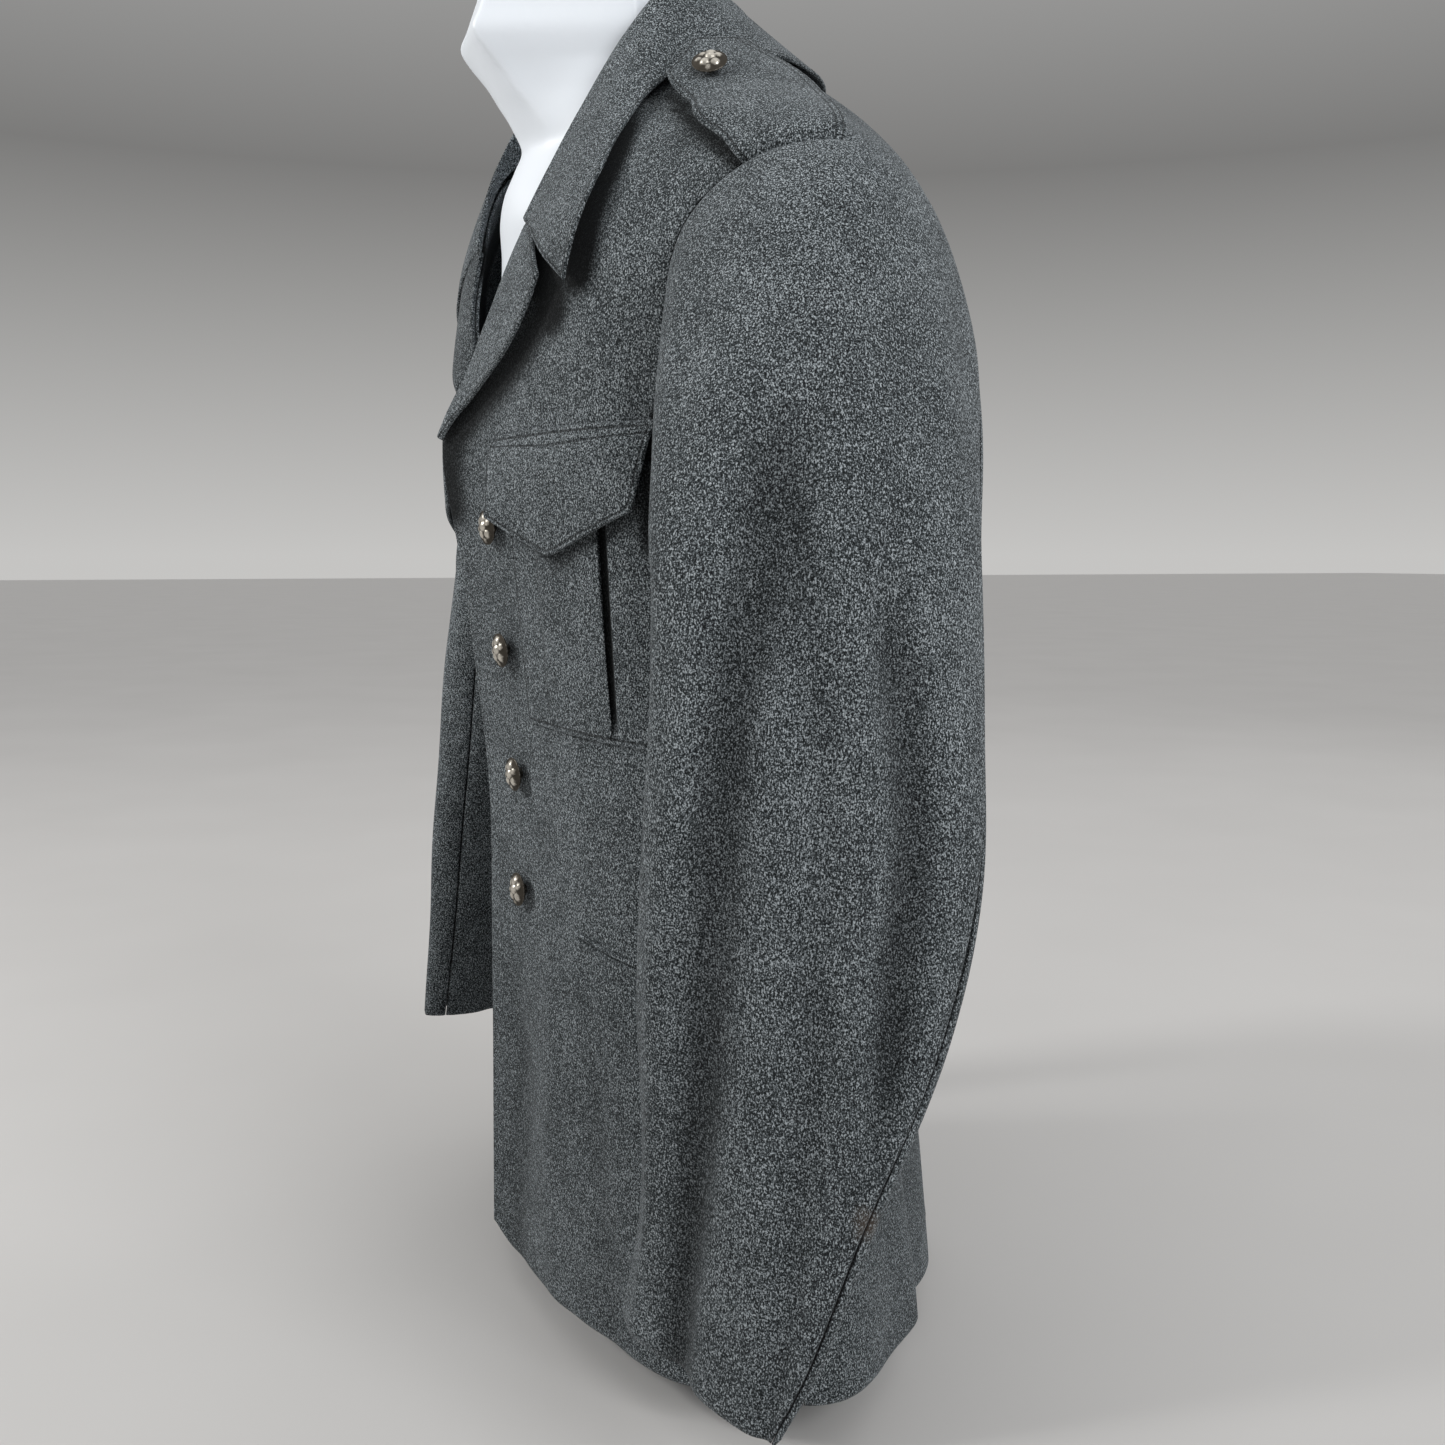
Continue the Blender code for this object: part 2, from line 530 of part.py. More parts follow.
def strap(side, label, look):
    """Shoulder strap, sewn in at the sleeve head, its pointed tip held by a button."""
    share = np.linspace(0, 1, 9)[:, None]
    across = np.linspace(0, 1, 7)[None, :]
    ends = 1 - STRAP_POINT * np.abs(across * 2 - 1)
    place = STRAP_BASE_SHARE + share * (ends - STRAP_BASE_SHARE)
    s, z, lift = strap_place(place, across + 0 * place)
    return panel(f"shoulder_strap_{label}", s, z, side, look, (0, 0, 0, 0), lift, TRIM_WALL)


# Chest pockets
POCKET_FRONT_S, POCKET_REAR_S = 0.112, 0.326
POCKET_FOOT_Z, POCKET_TOP_Z = 0.384, 0.530
POCKET_FOOT_DROP = 0.006  # from its front to its rear corner
POCKET_WALL = 0.0016
PLEAT_FRONT_S, PLEAT_REAR_S = 0.165, 0.254
PLEAT_RISE = 0.0020
PLEAT_GAP_S = 0.006
FLAP_TOP_Z, FLAP_FOOT_Z, FLAP_POINT_Z = 0.551, 0.505, 0.481
FLAP_FRONT_S, FLAP_REAR_S = 0.096, 0.325
FLAP_REAR_SLANT = 0.020  # how much further forward its rear edge ends
FLAP_POINT_SHARE = 0.46
FLAP_OVER_POCKET = 0.0044
FLAP_CORNER_LIFT = {1: 0.0045, -1: 0.0}
RIGHT_POCKET_RAISE = 0.010  # the right pocket sits higher, as the jacket hangs turned


def pocket(side, label, look):
    """Patch with a box pleat down its middle, whose rear fold stands open."""
    fold = 0.0035
    s = np.array([
        POCKET_FRONT_S, 0.138, PLEAT_FRONT_S - fold, PLEAT_FRONT_S, 0.195, 0.225, PLEAT_REAR_S - fold,
        PLEAT_REAR_S, PLEAT_REAR_S + PLEAT_GAP_S, PLEAT_REAR_S + PLEAT_GAP_S + fold, 0.290, POCKET_REAR_S])
    rise = np.array([0, 0, 0, 0.6, 1, 1, 1.2, 1.2, -0.35, 0, 0, 0]) * PLEAT_RISE
    height = np.linspace(0, 1, 8)[:, None]
    foot = POCKET_FOOT_Z - POCKET_FOOT_DROP * (s - POCKET_FRONT_S) / (POCKET_REAR_S - POCKET_FRONT_S)
    z = foot + (POCKET_TOP_Z - foot) * height
    if side < 0:
        z = z + RIGHT_POCKET_RAISE
    lift = SEAT + POCKET_WALL + rise * (0.25 + 0.75 * height)
    return panel(f"chest_pocket_{label}", s + 0 * z, z, side, look, (0, 0, 0, 0), lift, lift - SEAT)


def flap(side, label, look):
    """Pointed flap over the pocket, standing off along its lower edge."""
    across = np.array([0, 0.12, 0.25, 0.36, FLAP_POINT_SHARE, 0.56, 0.69, 0.84, 1.0])
    down = np.linspace(1, 0, 7)[:, None]
    before, after = across / FLAP_POINT_SHARE, (1 - across) / (1 - FLAP_POINT_SHARE)
    reach = np.where(across < FLAP_POINT_SHARE, before, after)
    foot = FLAP_FOOT_Z + (FLAP_POINT_Z - FLAP_FOOT_Z) * reach
    z = FLAP_TOP_Z + (foot - FLAP_TOP_Z) * down
    if side < 0:
        z = z + RIGHT_POCKET_RAISE
    s = FLAP_FRONT_S + (FLAP_REAR_S - FLAP_REAR_SLANT * down - FLAP_FRONT_S) * across
    corner = FLAP_CORNER_LIFT[side] * ramp(across, 0.45, 0.0) + 0.0015 * ramp(across, 0.8, 1.0)
    lift = SEAT + TRIM_WALL + FLAP_OVER_POCKET * ramp(down, 0.0, 0.30) + (0.0010 + corner) * down**1.5
    return panel(f"chest_flap_{label}", s, z, side, look, (0, 0, 0, 0), lift, TRIM_WALL)


# Hip pockets: a narrow slanting welt
WELT_FRONT, WELT_REAR = (0.187, 0.2670), (0.385, 0.2520)
WELT_HEIGHT, WELT_RISE = 0.0065, 0.0016


def welt(side, label, look):
    share = np.linspace(0, 1, 9)[None, :]
    height = np.array([-1.0, 0.0])[:, None] * WELT_HEIGHT
    s = WELT_FRONT[0] + (WELT_REAR[0] - WELT_FRONT[0]) * share + 0 * height
    z = WELT_FRONT[1] + (WELT_REAR[1] - WELT_FRONT[1]) * share + height
    return panel(f"hip_welt_{label}", s, z, side, look, (0, 0, 0, 0), SEAT + WELT_RISE, WELT_RISE)


# Buttons
BUTTON_S = 0.080
BUTTON_HEIGHTS = (0.499, 0.426, 0.350, 0.278)
BUTTON_RADIUS, STRAP_BUTTON_RADIUS = 0.01025, 0.0095
BUTTON_SIDES = 16
# Turned outline of a button of radius 1: radius and height above the cloth
BUTTON_PROFILE = (
    (0.30, 0.00), (0.30, 0.34), (0.86, 0.40), (1.00, 0.52), (0.97, 0.62), (0.80, 0.60), (0.40, 0.72),
)


def button(name, place, normal, radius, look):
    """A domed metal button on its shank, standing on the cloth."""
    normal = normal / np.linalg.norm(normal)
    level = np.cross((0, 0, 1.0), normal)
    level /= np.linalg.norm(level)
    upright = np.cross(normal, level)
    points, faces = [place + normal * SEAT], []
    for ring_radius, height in BUTTON_PROFILE:
        for k in range(BUTTON_SIDES):
            a = 2 * math.pi * k / BUTTON_SIDES
            spoke = level * math.cos(a) + upright * math.sin(a)
            points.append(place + normal * (SEAT + height * radius) + spoke * ring_radius * radius)
    points.append(place + normal * (SEAT + 0.74 * radius))
    for k in range(BUTTON_SIDES):
        nxt = (k + 1) % BUTTON_SIDES
        faces.append((0, 1 + nxt, 1 + k))
        for ring in range(len(BUTTON_PROFILE) - 1):
            low, high = 1 + ring * BUTTON_SIDES, 1 + (ring + 1) * BUTTON_SIDES
            faces.append((low + k, low + nxt, high + nxt, high + k))
        top = 1 + (len(BUTTON_PROFILE) - 1) * BUTTON_SIDES
        faces.append((top + k, top + nxt, len(points) - 1))
    return add_mesh(name, points, faces, look)


# Form: an oval at each height, and how far its sides follow the cloth of the shoulders
FORM_COLUMNS = ("z", "half_x", "front_y", "rear_y", "cloth_share")
FORM_SECTIONS = (
    (0.000, 0.160, -0.0880, 0.098, 0.0),
    (0.110, 0.162, -0.0900, 0.098, 0.0),
    (0.230, 0.156, -0.0920, 0.090, 0.0),
    (0.340, 0.152, -0.0940, 0.084, 0.0),
    (0.430, 0.160, -0.1020, 0.090, 0.0),
    (0.500, 0.172, -0.1100, 0.098, 0.0),
    (0.560, 0.180, -0.1160, 0.102, 0.0),
    (0.610, 0.184, -0.1200, 0.100, 0.0),
    (0.640, 0.150, -0.1240, 0.080, 0.7),
    (0.662, 0.100, -0.1250, 0.062, 1.0),
    (0.683, 0.078, -0.1262, 0.052, 1.0),
    (0.697, 0.070, -0.1235, 0.046, 1.0),
    (0.711, 0.066, -0.1175, 0.042, 1.0),
    (0.725, 0.063, -0.1125, 0.036, 1.0),
    (0.739, 0.060, -0.1190, 0.030, 0.92),
    (0.752, 0.056, -0.1270, 0.024, 0.50),
    (0.763, 0.057, -0.1340, 0.019, 0.35),
    (0.773, 0.057, -0.1400, 0.014, 0.1),
    (0.783, 0.057, -0.1450, 0.010, 0.0),
    (0.795, 0.056, -0.1410, 0.005, 0.0),
    (0.812, 0.054, -0.1350, 0.000, 0.0),
    (0.826, 0.051, -0.1300, -0.006, 0.0),
    (0.832, 0.044, -0.1220, -0.014, 0.0),
)
FORM_HALF_S = (
    0.037, 0.085, 0.14, 0.20, 0.26, 0.32, 0.38, 0.435, 0.475,
    0.51, 0.55, 0.60, 0.66, 0.73, 0.80, 0.87, 0.94, 1.0,
)
FORM_CLEARANCE = WALL + 0.0050  # under the cloth on the shoulders, where the jacket rests
FORM_EASE = 0.010  # more than that in front and behind
FORM_CHEST_TURN = 75.0  # the front of the form follows its oval up to here


def form_ring(z, half_x, front_y, rear_y, cloth_share):
    """Closed ring of the form, from its front by the left side and the back to the right side."""
    s = np.array(FORM_HALF_S)
    turn = math.pi * (s - s[0]) / (s[-1] - s[0])
    middle, half = (front_y + rear_y) / 2, (rear_y - front_y) / 2
    oval = np.stack([half_x * np.sin(turn), middle - half * np.cos(turn), np.full_like(s, z)], -1)
    clear = FORM_CLEARANCE + FORM_EASE * ramp(np.abs(s - 0.5), 0.03, 0.4)
    under = torso(s, z) - torso_normals(s, z) * clear[:, None]
    share = cloth_share * ramp(np.degrees(turn), 0, FORM_CHEST_TURN)
    left = oval + (under - oval) * share[:, None]
    left[[0, -1], 0] = 0
    return np.concatenate([left, left[-2:0:-1] * (-1, 1, 1)])


def form(look):
    """Limbless torso form with a leaning neck, standing on its flat foot."""
    rings = [form_ring(*row) for row in FORM_SECTIONS]
    sides = len(rings[0])
    points = [point for ring in rings for point in ring]
    faces = [tuple(range(sides))[::-1], tuple(range(len(points) - sides, len(points)))]
    for ring in range(len(rings) - 1):
        for k in range(sides):
            low, following = ring * sides + k, ring * sides + (k + 1) % sides
            faces.append((low, following, following + sides, low + sides))
    return add_mesh("torso_form", points, faces, look)


WOOL = material("grey_green_wool", (0.055, 0.062, 0.062), 0.95)
METAL = material("aged_silver", (0.42, 0.38, 0.32), 0.45, 0.9)
PLASTIC = material("white_plastic", (0.85, 0.87, 0.90), 0.35)

for side, label in SIDES:
    front(side, label, WOOL)
    side_body(side, label, WOOL)
    back(side, label, WOOL)
    lapel(side, label, WOOL)
    strap(side, label, WOOL)
    pocket(side, label, WOOL)
    flap(side, label, WOOL)
    welt(side, label, WOOL)
sleeves(WOOL)
for number, height in enumerate(BUTTON_HEIGHTS, 1):
    place = torso(BUTTON_S, height)
    button(f"front_button_{number}", place, torso_normals(BUTTON_S, height), BUTTON_RADIUS, METAL)
for side, label in SIDES:
    s, z, lift = strap_place(STRAP_BUTTON_SHARE, STRAP_BUTTON_ACROSS)
    normal = torso_normals(s, z, side)
    button(f"strap_button_{label}", torso(s, z, side) + normal * lift, normal, STRAP_BUTTON_RADIUS, METAL)
collar(WOOL)
form(PLASTIC)
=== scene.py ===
"""A grey-green wool uniform jacket on a white torso form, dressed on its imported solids.

The wearer faces -Y, the wearer's left is +X and the form stands on z = 0, in metres.
"""

import math

import bpy
import numpy as np
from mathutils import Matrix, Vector


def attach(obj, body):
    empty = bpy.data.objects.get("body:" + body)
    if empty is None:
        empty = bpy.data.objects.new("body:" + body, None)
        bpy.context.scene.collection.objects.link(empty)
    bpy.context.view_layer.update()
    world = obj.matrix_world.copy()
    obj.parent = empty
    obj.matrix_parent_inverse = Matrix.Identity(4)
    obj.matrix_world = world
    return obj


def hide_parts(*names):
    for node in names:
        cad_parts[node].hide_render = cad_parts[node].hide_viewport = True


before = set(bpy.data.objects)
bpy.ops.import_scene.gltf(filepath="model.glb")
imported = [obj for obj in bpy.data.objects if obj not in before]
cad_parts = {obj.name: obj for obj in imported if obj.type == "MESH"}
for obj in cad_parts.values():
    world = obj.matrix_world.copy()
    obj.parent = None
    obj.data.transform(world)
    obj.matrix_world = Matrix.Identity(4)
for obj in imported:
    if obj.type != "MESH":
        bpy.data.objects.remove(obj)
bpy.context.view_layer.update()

# Studio: a plain pale floor and sky, a lamp high in front on the wearer's right, a broader one on
# their left, a weak one behind, and the camera that looks at the jacket's left side.
studio = bpy.context.scene
studio.view_settings.view_transform = "Standard"

CAMERA_PLACE, CAMERA_TURN, CAMERA_DIP = (0.8647, -0.2995, 0.482), 70.0, 6.8
FILM_WIDTH, FOCAL_PIXELS, PHOTO_PIXELS = 36.0, 1400, 1445
bpy.ops.object.camera_add(
    location=CAMERA_PLACE,
    rotation=(math.radians(90 - CAMERA_DIP), 0, math.radians(CAMERA_TURN)))
camera = bpy.context.object
camera.data.sensor_width = FILM_WIDTH
camera.data.lens = FILM_WIDTH * FOCAL_PIXELS / PHOTO_PIXELS
camera.data.clip_start = 0.01
studio.camera = camera


def softbox(name, place, aim, width, watts, colour):
    lamp = bpy.data.lights.new(name, "AREA")
    lamp.shape, lamp.size, lamp.energy, lamp.color = "DISK", width, watts, colour
    made = bpy.data.objects.new(name, lamp)
    made.location = place
    made.rotation_euler = (Vector(place) - Vector(aim)).to_track_quat("Z", "Y").to_euler()
    studio.collection.objects.link(made)


softbox("key_light", (-0.5, -2.6, 2.1), (0.05, -0.1, 0.50), 0.6, 42, (1.0, 0.995, 0.98))
softbox("side_light", (2.4, 0.7, 1.7), (0.1, 0.0, 0.45), 1.3, 35, (0.98, 0.99, 1.0))
softbox("back_light", (-1.2, 2.4, 2.0), (0.0, 0.0, 0.45), 1.6, 7, (1.0, 1.0, 1.0))


def set_stops(ramp, stops):
    while len(ramp.elements) < len(stops):
        ramp.elements.new(0.5)
    for element, (place, colour) in zip(ramp.elements, stops):
        element.position, element.color = place, (*colour, 1)


# The sky is pale at the horizon, dark a little above it and white overhead
sky = bpy.data.worlds.new("studio_sky")
studio.world = sky
sky.use_nodes = True
nodes, links = sky.node_tree.nodes, sky.node_tree.links
height = nodes.new("ShaderNodeSeparateXYZ")
links.new(nodes.new("ShaderNodeTexCoord").outputs["Generated"], height.inputs[0])
shade = nodes.new("ShaderNodeValToRGB")
links.new(height.outputs["Z"], shade.inputs["Fac"])
set_stops(shade.color_ramp, [(0.0, (0.56, 0.5544, 0.5432)), (0.25, (0.20, 0.198, 0.194)), (1.0, (1, 1, 1))])
links.new(shade.outputs["Color"], nodes["Background"].inputs["Color"])


class Value:
    """A socket of a material, so that sums of sockets read as plain arithmetic."""

    def __init__(self, finish, socket):
        self.finish, self.socket = finish, socket

    def sum(self, operation, *terms):
        return self.finish.node("ShaderNodeMath", {"operation": operation}, dict(enumerate(terms)))

    def __add__(self, other):
        return self.sum("ADD", self, other)

    def __sub__(self, other):
        return self.sum("SUBTRACT", self, other)

    def __rsub__(self, other):
        return self.sum("SUBTRACT", other, self)

    def __mul__(self, other):
        return self.sum("MULTIPLY", self, other)

    __radd__ = __add__

    def step(self, low, high):
        """0 below low and 1 above high, smooth between."""
        return self.finish.node(
            "ShaderNodeMapRange", {"interpolation_type": "SMOOTHSTEP"}, {0: self, 1: low, 2: high})


class Finish:
    """One material: its shader's fixed values, and the nodes that vary over the surface."""

    def __init__(self, name, **fixed):
        self.material = bpy.data.materials.new(name)
        self.material.use_nodes = True
        self.tree = self.material.node_tree
        self.shader = self.tree.nodes["Principled BSDF"]
        for socket, value in fixed.items():
            self.shader.inputs[socket.replace("_", " ")].default_value = value

    def node(self, kind, settings, values, output=0):
        made = self.tree.nodes.new(kind)
        for name, setting in settings.items():
            if name == "stops":
                set_stops(made.color_ramp, setting)
            else:
                setattr(made, name, setting)
        for key, value in values.items():
            if isinstance(value, Value):
                self.tree.links.new(value.socket, made.inputs[key])
            else:
                made.inputs[key].default_value = value
        return Value(self, made.outputs[output])

    def place(self, stretch=(1, 1, 1)):
        """Where a point lies on the object, in metres, stretched by direction."""
        where = self.node("ShaderNodeTexCoord", {}, {}, "Object")
        return self.node("ShaderNodeMapping", {}, {"Vector": where, "Scale": stretch})

    def noise(self, scale, detail=2.0, rough=0.5, stretch=(1, 1, 1)):
        values = {"Vector": self.place(stretch), "Scale": scale, "Detail": detail, "Roughness": rough}
        return self.node("ShaderNodeTexNoise", {}, values, "Fac")

    def blend(self, share, low, high, mode="MIX"):
        """Colour between low and high."""
        return self.node("ShaderNodeMix", {"data_type": "RGBA", "blend_type": mode},
                         {0: share, 6: low, 7: high}, 2)

    def link(self, **varying):
        for socket, value in varying.items():
            self.tree.links.new(value.socket, self.shader.inputs[socket.replace("_", " ")])
        return self.material

    def mark(self, attribute):
        """1 on a line and 0 further off, from the distance in millimetres that the mesh carries."""
        away = self.node("ShaderNodeAttribute", {"attribute_name": attribute}, {}, "Fac")
        return 1 - (away * away).step(0.04, 0.90)

    def relief(self, height, depth, strength=1.0):
        return self.node("ShaderNodeBump", {}, {"Strength": strength, "Distance": depth, "Height": height})


floor_finish = Finish("pale_floor", Roughness=0.85)
floor_paint = floor_finish.blend(floor_finish.noise(3.0), (0.52, 0.51, 0.50, 1), (0.57, 0.56, 0.55, 1))
bpy.ops.mesh.primitive_plane_add(size=60, location=(0, 0, -0.0004))
floor = bpy.context.object
floor.name = "floor"
floor.data.materials.append(floor_finish.link(Base_Color=floor_paint))

# Body: two fronts, two side bodies and two backs of thick milled wool, cut to one outer surface.
# s runs from the front edge (0) by the side (0.5) to the spine (1), side is 1 on the wearer's left.
# Panels are sewn 0.4 mm apart, their edges drawn in along the seams, and hang in soft folds.
SIDES = ((1, "left"), (-1, "right"))
WALL, SEAM, SEAT, TRIM_WALL, LAP = 0.0020, 0.0004, 0.0008, 0.0026, 0.0056
HEM_Z, BREAK_Z, NECK_Z, SHOULDER_Z, UNDERARM_Z = 0.030, 0.556, 0.770, 0.683, 0.490
EDGE_X, LAP_S, CORNER_RADIUS = -0.022, 0.08, 0.012
EDGE_SPRING, SPRING_S, SPRING_FROM_Z, SPRING_TO_Z = 0.0045, 0.060, 0.470, 0.620
VENT_TOP_Z, VENT_LIFT = 0.210, 0.008
FULLER_CHEST, FULLER_FROM_Z, FULLER_TO_Z = 0.023, 0.590, 0.810
# z, edge_y, front_x, front_y, side_x, side_y, rear_x, rear_y, spine_y
SECTIONS = np.array([
    (0.030, -0.1400, 0.170, -0.080, 0.225, 0.002, 0.150, 0.083, 0.158),
    (0.110, -0.1385, 0.165, -0.081, 0.216, 0.000, 0.146, 0.078, 0.145),
    (0.230, -0.1370, 0.155, -0.082, 0.200, -0.002, 0.140, 0.070, 0.125),
    (0.340, -0.1370, 0.150, -0.083, 0.192, -0.004, 0.137, 0.065, 0.115),
    (0.430, -0.1460, 0.153, -0.087, 0.198, -0.005, 0.142, 0.071, 0.120),
    (0.500, -0.1540, 0.158, -0.090, 0.206, -0.005, 0.153, 0.081, 0.127),
    (0.555, -0.1570, 0.160, -0.092, 0.210, -0.004, 0.158, 0.087, 0.130),
    (0.600, -0.1510, 0.158, -0.091, 0.212, -0.003, 0.159, 0.090, 0.129),
    (0.645, -0.1410, 0.152, -0.088, 0.214, -0.002, 0.156, 0.087, 0.122),
    (0.683, -0.1290, 0.142, -0.077, 0.213, -0.001, 0.147, 0.079, 0.111),
    (0.725, -0.1120, 0.105, -0.066, 0.146, 0.000, 0.110, 0.065, 0.090),
    (0.770, -0.0850, 0.058, -0.045, 0.076, 0.002, 0.053, 0.040, 0.055),
])
SECTION_S = np.array([0.0, 0.3, 0.5, 0.7, 1.0])
HALF_GIRTH = 0.57  # metres for one unit of s
# z, s of the roll line and then of the neck seam
NECKLINE = np.array([
    (0.556, 0.000), (0.573, 0.017), (0.588, 0.033), (0.609, 0.056), (0.635, 0.083), (0.665, 0.110),
    (0.700, 0.165), (0.725, 0.215), (0.750, 0.290), (0.764, 0.380), (0.770, 0.500),
])
ARM_HALF_S, ARM_FRONT_TURN, ARM_REAR_TURN = 0.165, 128.0, 235.0
# z, s of the front seam, s of the rear seam
SIDE_SEAMS = np.array([(0.030, 0.450, 0.672), (0.230, 0.425, 0.668), (0.400, 0.400, 0.655)])


def smooth_curve(knots, values, at, last_slope=None, own=False):
    """Smooth curve through values (last axis) at the knots; with own, each place has its own values."""
    knots, values, at = (np.asarray(a, float) for a in (knots, values, at))
    step = np.diff(knots)
    rise = np.diff(values, axis=-1) / step
    slope = np.empty_like(values)
    slope[..., 1:-1] = (rise[..., :-1] * step[1:] + rise[..., 1:] * step[:-1]) / (step[1:] + step[:-1])
    slope[..., 0] = rise[..., 0]
    slope[..., -1] = rise[..., -1] if last_slope is None else last_slope
    k = np.clip(np.searchsorted(knots, at, side="right") - 1, 0, len(step) - 1)
    t = (at - knots[k]) / step[k]

    def pick(a, more):
        return np.take_along_axis(a, k[..., None] + more, -1)[..., 0] if own else a[..., k + more]

    near, far = 2 * t**3 - 3 * t**2 + 1, 3 * t**2 - 2 * t**3
    leave, arrive = (t**3 - 2 * t**2 + t) * step[k], (t**3 - t**2) * step[k]
    return near * pick(values, 0) + leave * pick(slope, 0) + far * pick(values, 1) + arrive * pick(slope, 1)


def table_at(table, at):
    """Columns of a table at values of its first column, smoothly between its rows."""
    return smooth_curve(table[:, 0], table[:, 1:].T, at)


def unit(vectors):
    return vectors / np.linalg.norm(vectors, axis=-1, keepdims=True)


def bump(value, low, high):
    return np.sin(math.pi * np.clip((value - low) / (high - low), 0.0, 1.0)) ** 2


def ramp(value, low, high):
    share = np.clip((value - low) / (high - low), 0.0, 1.0)
    return share * share * (3 - 2 * share)


def torso(s, z, side=1):
    """Points of the jacket's outer surface, before its folds."""
    s, z = np.broadcast_arrays(np.asarray(s, float), np.asarray(z, float))
    edge_y, front_x, front_y, side_x, side_y, rear_x, rear_y, spine_y = table_at(SECTIONS, z)
    knots = SECTION_S
    xs = [np.full_like(z, EDGE_X), front_x, side_x, rear_x, np.zeros_like(z)]
    ys = [edge_y, front_y, side_y, rear_y, spine_y]
    if side < 0:
        fuller = FULLER_CHEST * bump(z, FULLER_FROM_Z, FULLER_TO_Z)
        slope = (front_y - edge_y) / (front_x - EDGE_X)
        lap_x = EDGE_X + (front_x - EDGE_X) * LAP_S / SECTION_S[1]
        knots = np.insert(SECTION_S, 1, LAP_S)
        xs.insert(1, lap_x)
        start_y, lap_y = edge_y - slope * 2 * EDGE_X + LAP, edge_y + LAP + slope * (lap_x + EDGE_X)
        ys = [start_y, lap_y, front_y - fuller] + ys[2:]
    x = smooth_curve(knots, np.stack(xs, -1), s, own=True)
    y = smooth_curve(knots, np.stack(ys, -1), s, 0.0, own=True)
    if side > 0:
        y = y - EDGE_SPRING * bump(z, SPRING_FROM_Z, SPRING_TO_Z) * (1 - ramp(s, 0.0, SPRING_S))
    return np.stack([x * side, y, z], -1)


def torso_normals(s, z, side=1):
    small = 1e-4
    s, z = np.broadcast_arrays(np.asarray(s, float), np.asarray(z, float))
    along = torso(s + small, z, side) - torso(s - small, z, side)
    up = torso(s, z + small, side) - torso(s, z - small, side)
    return unit(np.cross(along, up) * side)


def armhole(turn):
    """(s, z) of the armhole seam: turn 0 on the shoulder, 90 in front, 180 under the arm."""
    angle = np.radians(turn)
    mid, half = (SHOULDER_Z + UNDERARM_Z) / 2, (SHOULDER_Z - UNDERARM_Z) / 2
    squareness = np.where(np.cos(angle) > 0, np.where(np.sin(angle) < 0, 0.56, 0.68), 0.92)
    across = np.sign(np.sin(angle)) * np.abs(np.sin(angle)) ** squareness
    above = np.sign(np.cos(angle)) * np.abs(np.cos(angle)) ** squareness
    return 0.5 - ARM_HALF_S * across, mid + half * above


def side_seam(z, column, turn):
    return table_at(np.vstack([SIDE_SEAMS[:, [0, column]], armhole(turn)[::-1]]), z)[0]


# A fold: the side it is on (0 both), where it starts and ends, its half width and its depth inwards
# side, from_s, from_z, to_s, to_z, half_width, depth
BODY_FOLDS = (
    (1, 0.060, 0.240, 0.050, 0.030, 0.016, 0.0035),
    (1, 0.125, 0.260, 0.130, 0.030, 0.013, -0.0022),
    (1, 0.205, 0.230, 0.215, 0.030, 0.016, 0.0028),
    (0, 0.300, 0.240, 0.320, 0.030, 0.018, -0.0026),
    (0, 0.385, 0.330, 0.395, 0.030, 0.015, 0.0030),
    (0, 0.290, 0.590, 0.345, 0.480, 0.012, 0.0028),
    (0, 0.240, 0.640, 0.335, 0.560, 0.010, 0.0016),
    (0, 0.330, 0.470, 0.370, 0.330, 0.014, 0.0022),
    (0, 0.560, 0.480, 0.600, 0.250, 0.018, 0.0030),
    (0, 0.720, 0.360, 0.700, 0.030, 0.018, 0.0034),
    (0, 0.800, 0.420, 0.780, 0.030, 0.020, -0.0026),
    (0, 0.875, 0.350, 0.870, 0.030, 0.017, 0.0030),
    (0, 0.700, 0.600, 0.830, 0.440, 0.016, 0.0026),
    (0, 0.690, 0.520, 0.790, 0.360, 0.014, 0.0022),
    (0, 0.850, 0.640, 0.900, 0.520, 0.018, 0.0016),
    (-1, 0.090, 0.260, 0.100, 0.030, 0.015, 0.0030),
    (-1, 0.170, 0.220, 0.160, 0.030, 0.016, -0.0020),
    (-1, 0.230, 0.250, 0.240, 0.030, 0.015, 0.0026),
    (1, 0.235, 0.215, 0.300, 0.185, 0.006, 0.0008),
)


def folded(points, normals, depth):
    """Points moved inwards by a depth, which is one number or one for each point."""
    return points - normals * np.asarray(depth)[..., None]


def fold_depth(place, height, folds):
    """Depth inwards of a list of folds (from, to, half width, depth) at places in metres."""
    depth = np.zeros(np.broadcast(place, height).shape)
    for (x0, z0), (x1, z1), half_width, deep in folds:
        run = np.array([x1 - x0, z1 - z0])
        length = np.linalg.norm(run)
        along = ((place - x0) * run[0] + (height - z0) * run[1]) / length
        aside = ((place - x0) * run[1] - (height - z0) * run[0]) / length
        waver = 0.25 * half_width * np.sin(along / length * 7 + x0 * 40)
        # A fold that doesn't reach the hem fades out below
        faded = ramp(along, 0.8 * length, 1.25 * length) * (z1 > 0.05)
        fade = ramp(along, -0.1 * length, 0.35 * length) * (1 - faded)
        depth += deep * fade * np.exp(-((aside - waver) / half_width) ** 2)
    return depth


def body_depth(s, z, side):
    folds = [((fs * HALF_GIRTH, fz), (ts * HALF_GIRTH, tz), w, d)
             for on, fs, fz, ts, tz, w, d in BODY_FOLDS if on in (0, side)]
    return fold_depth(s * HALF_GIRTH, z, folds)


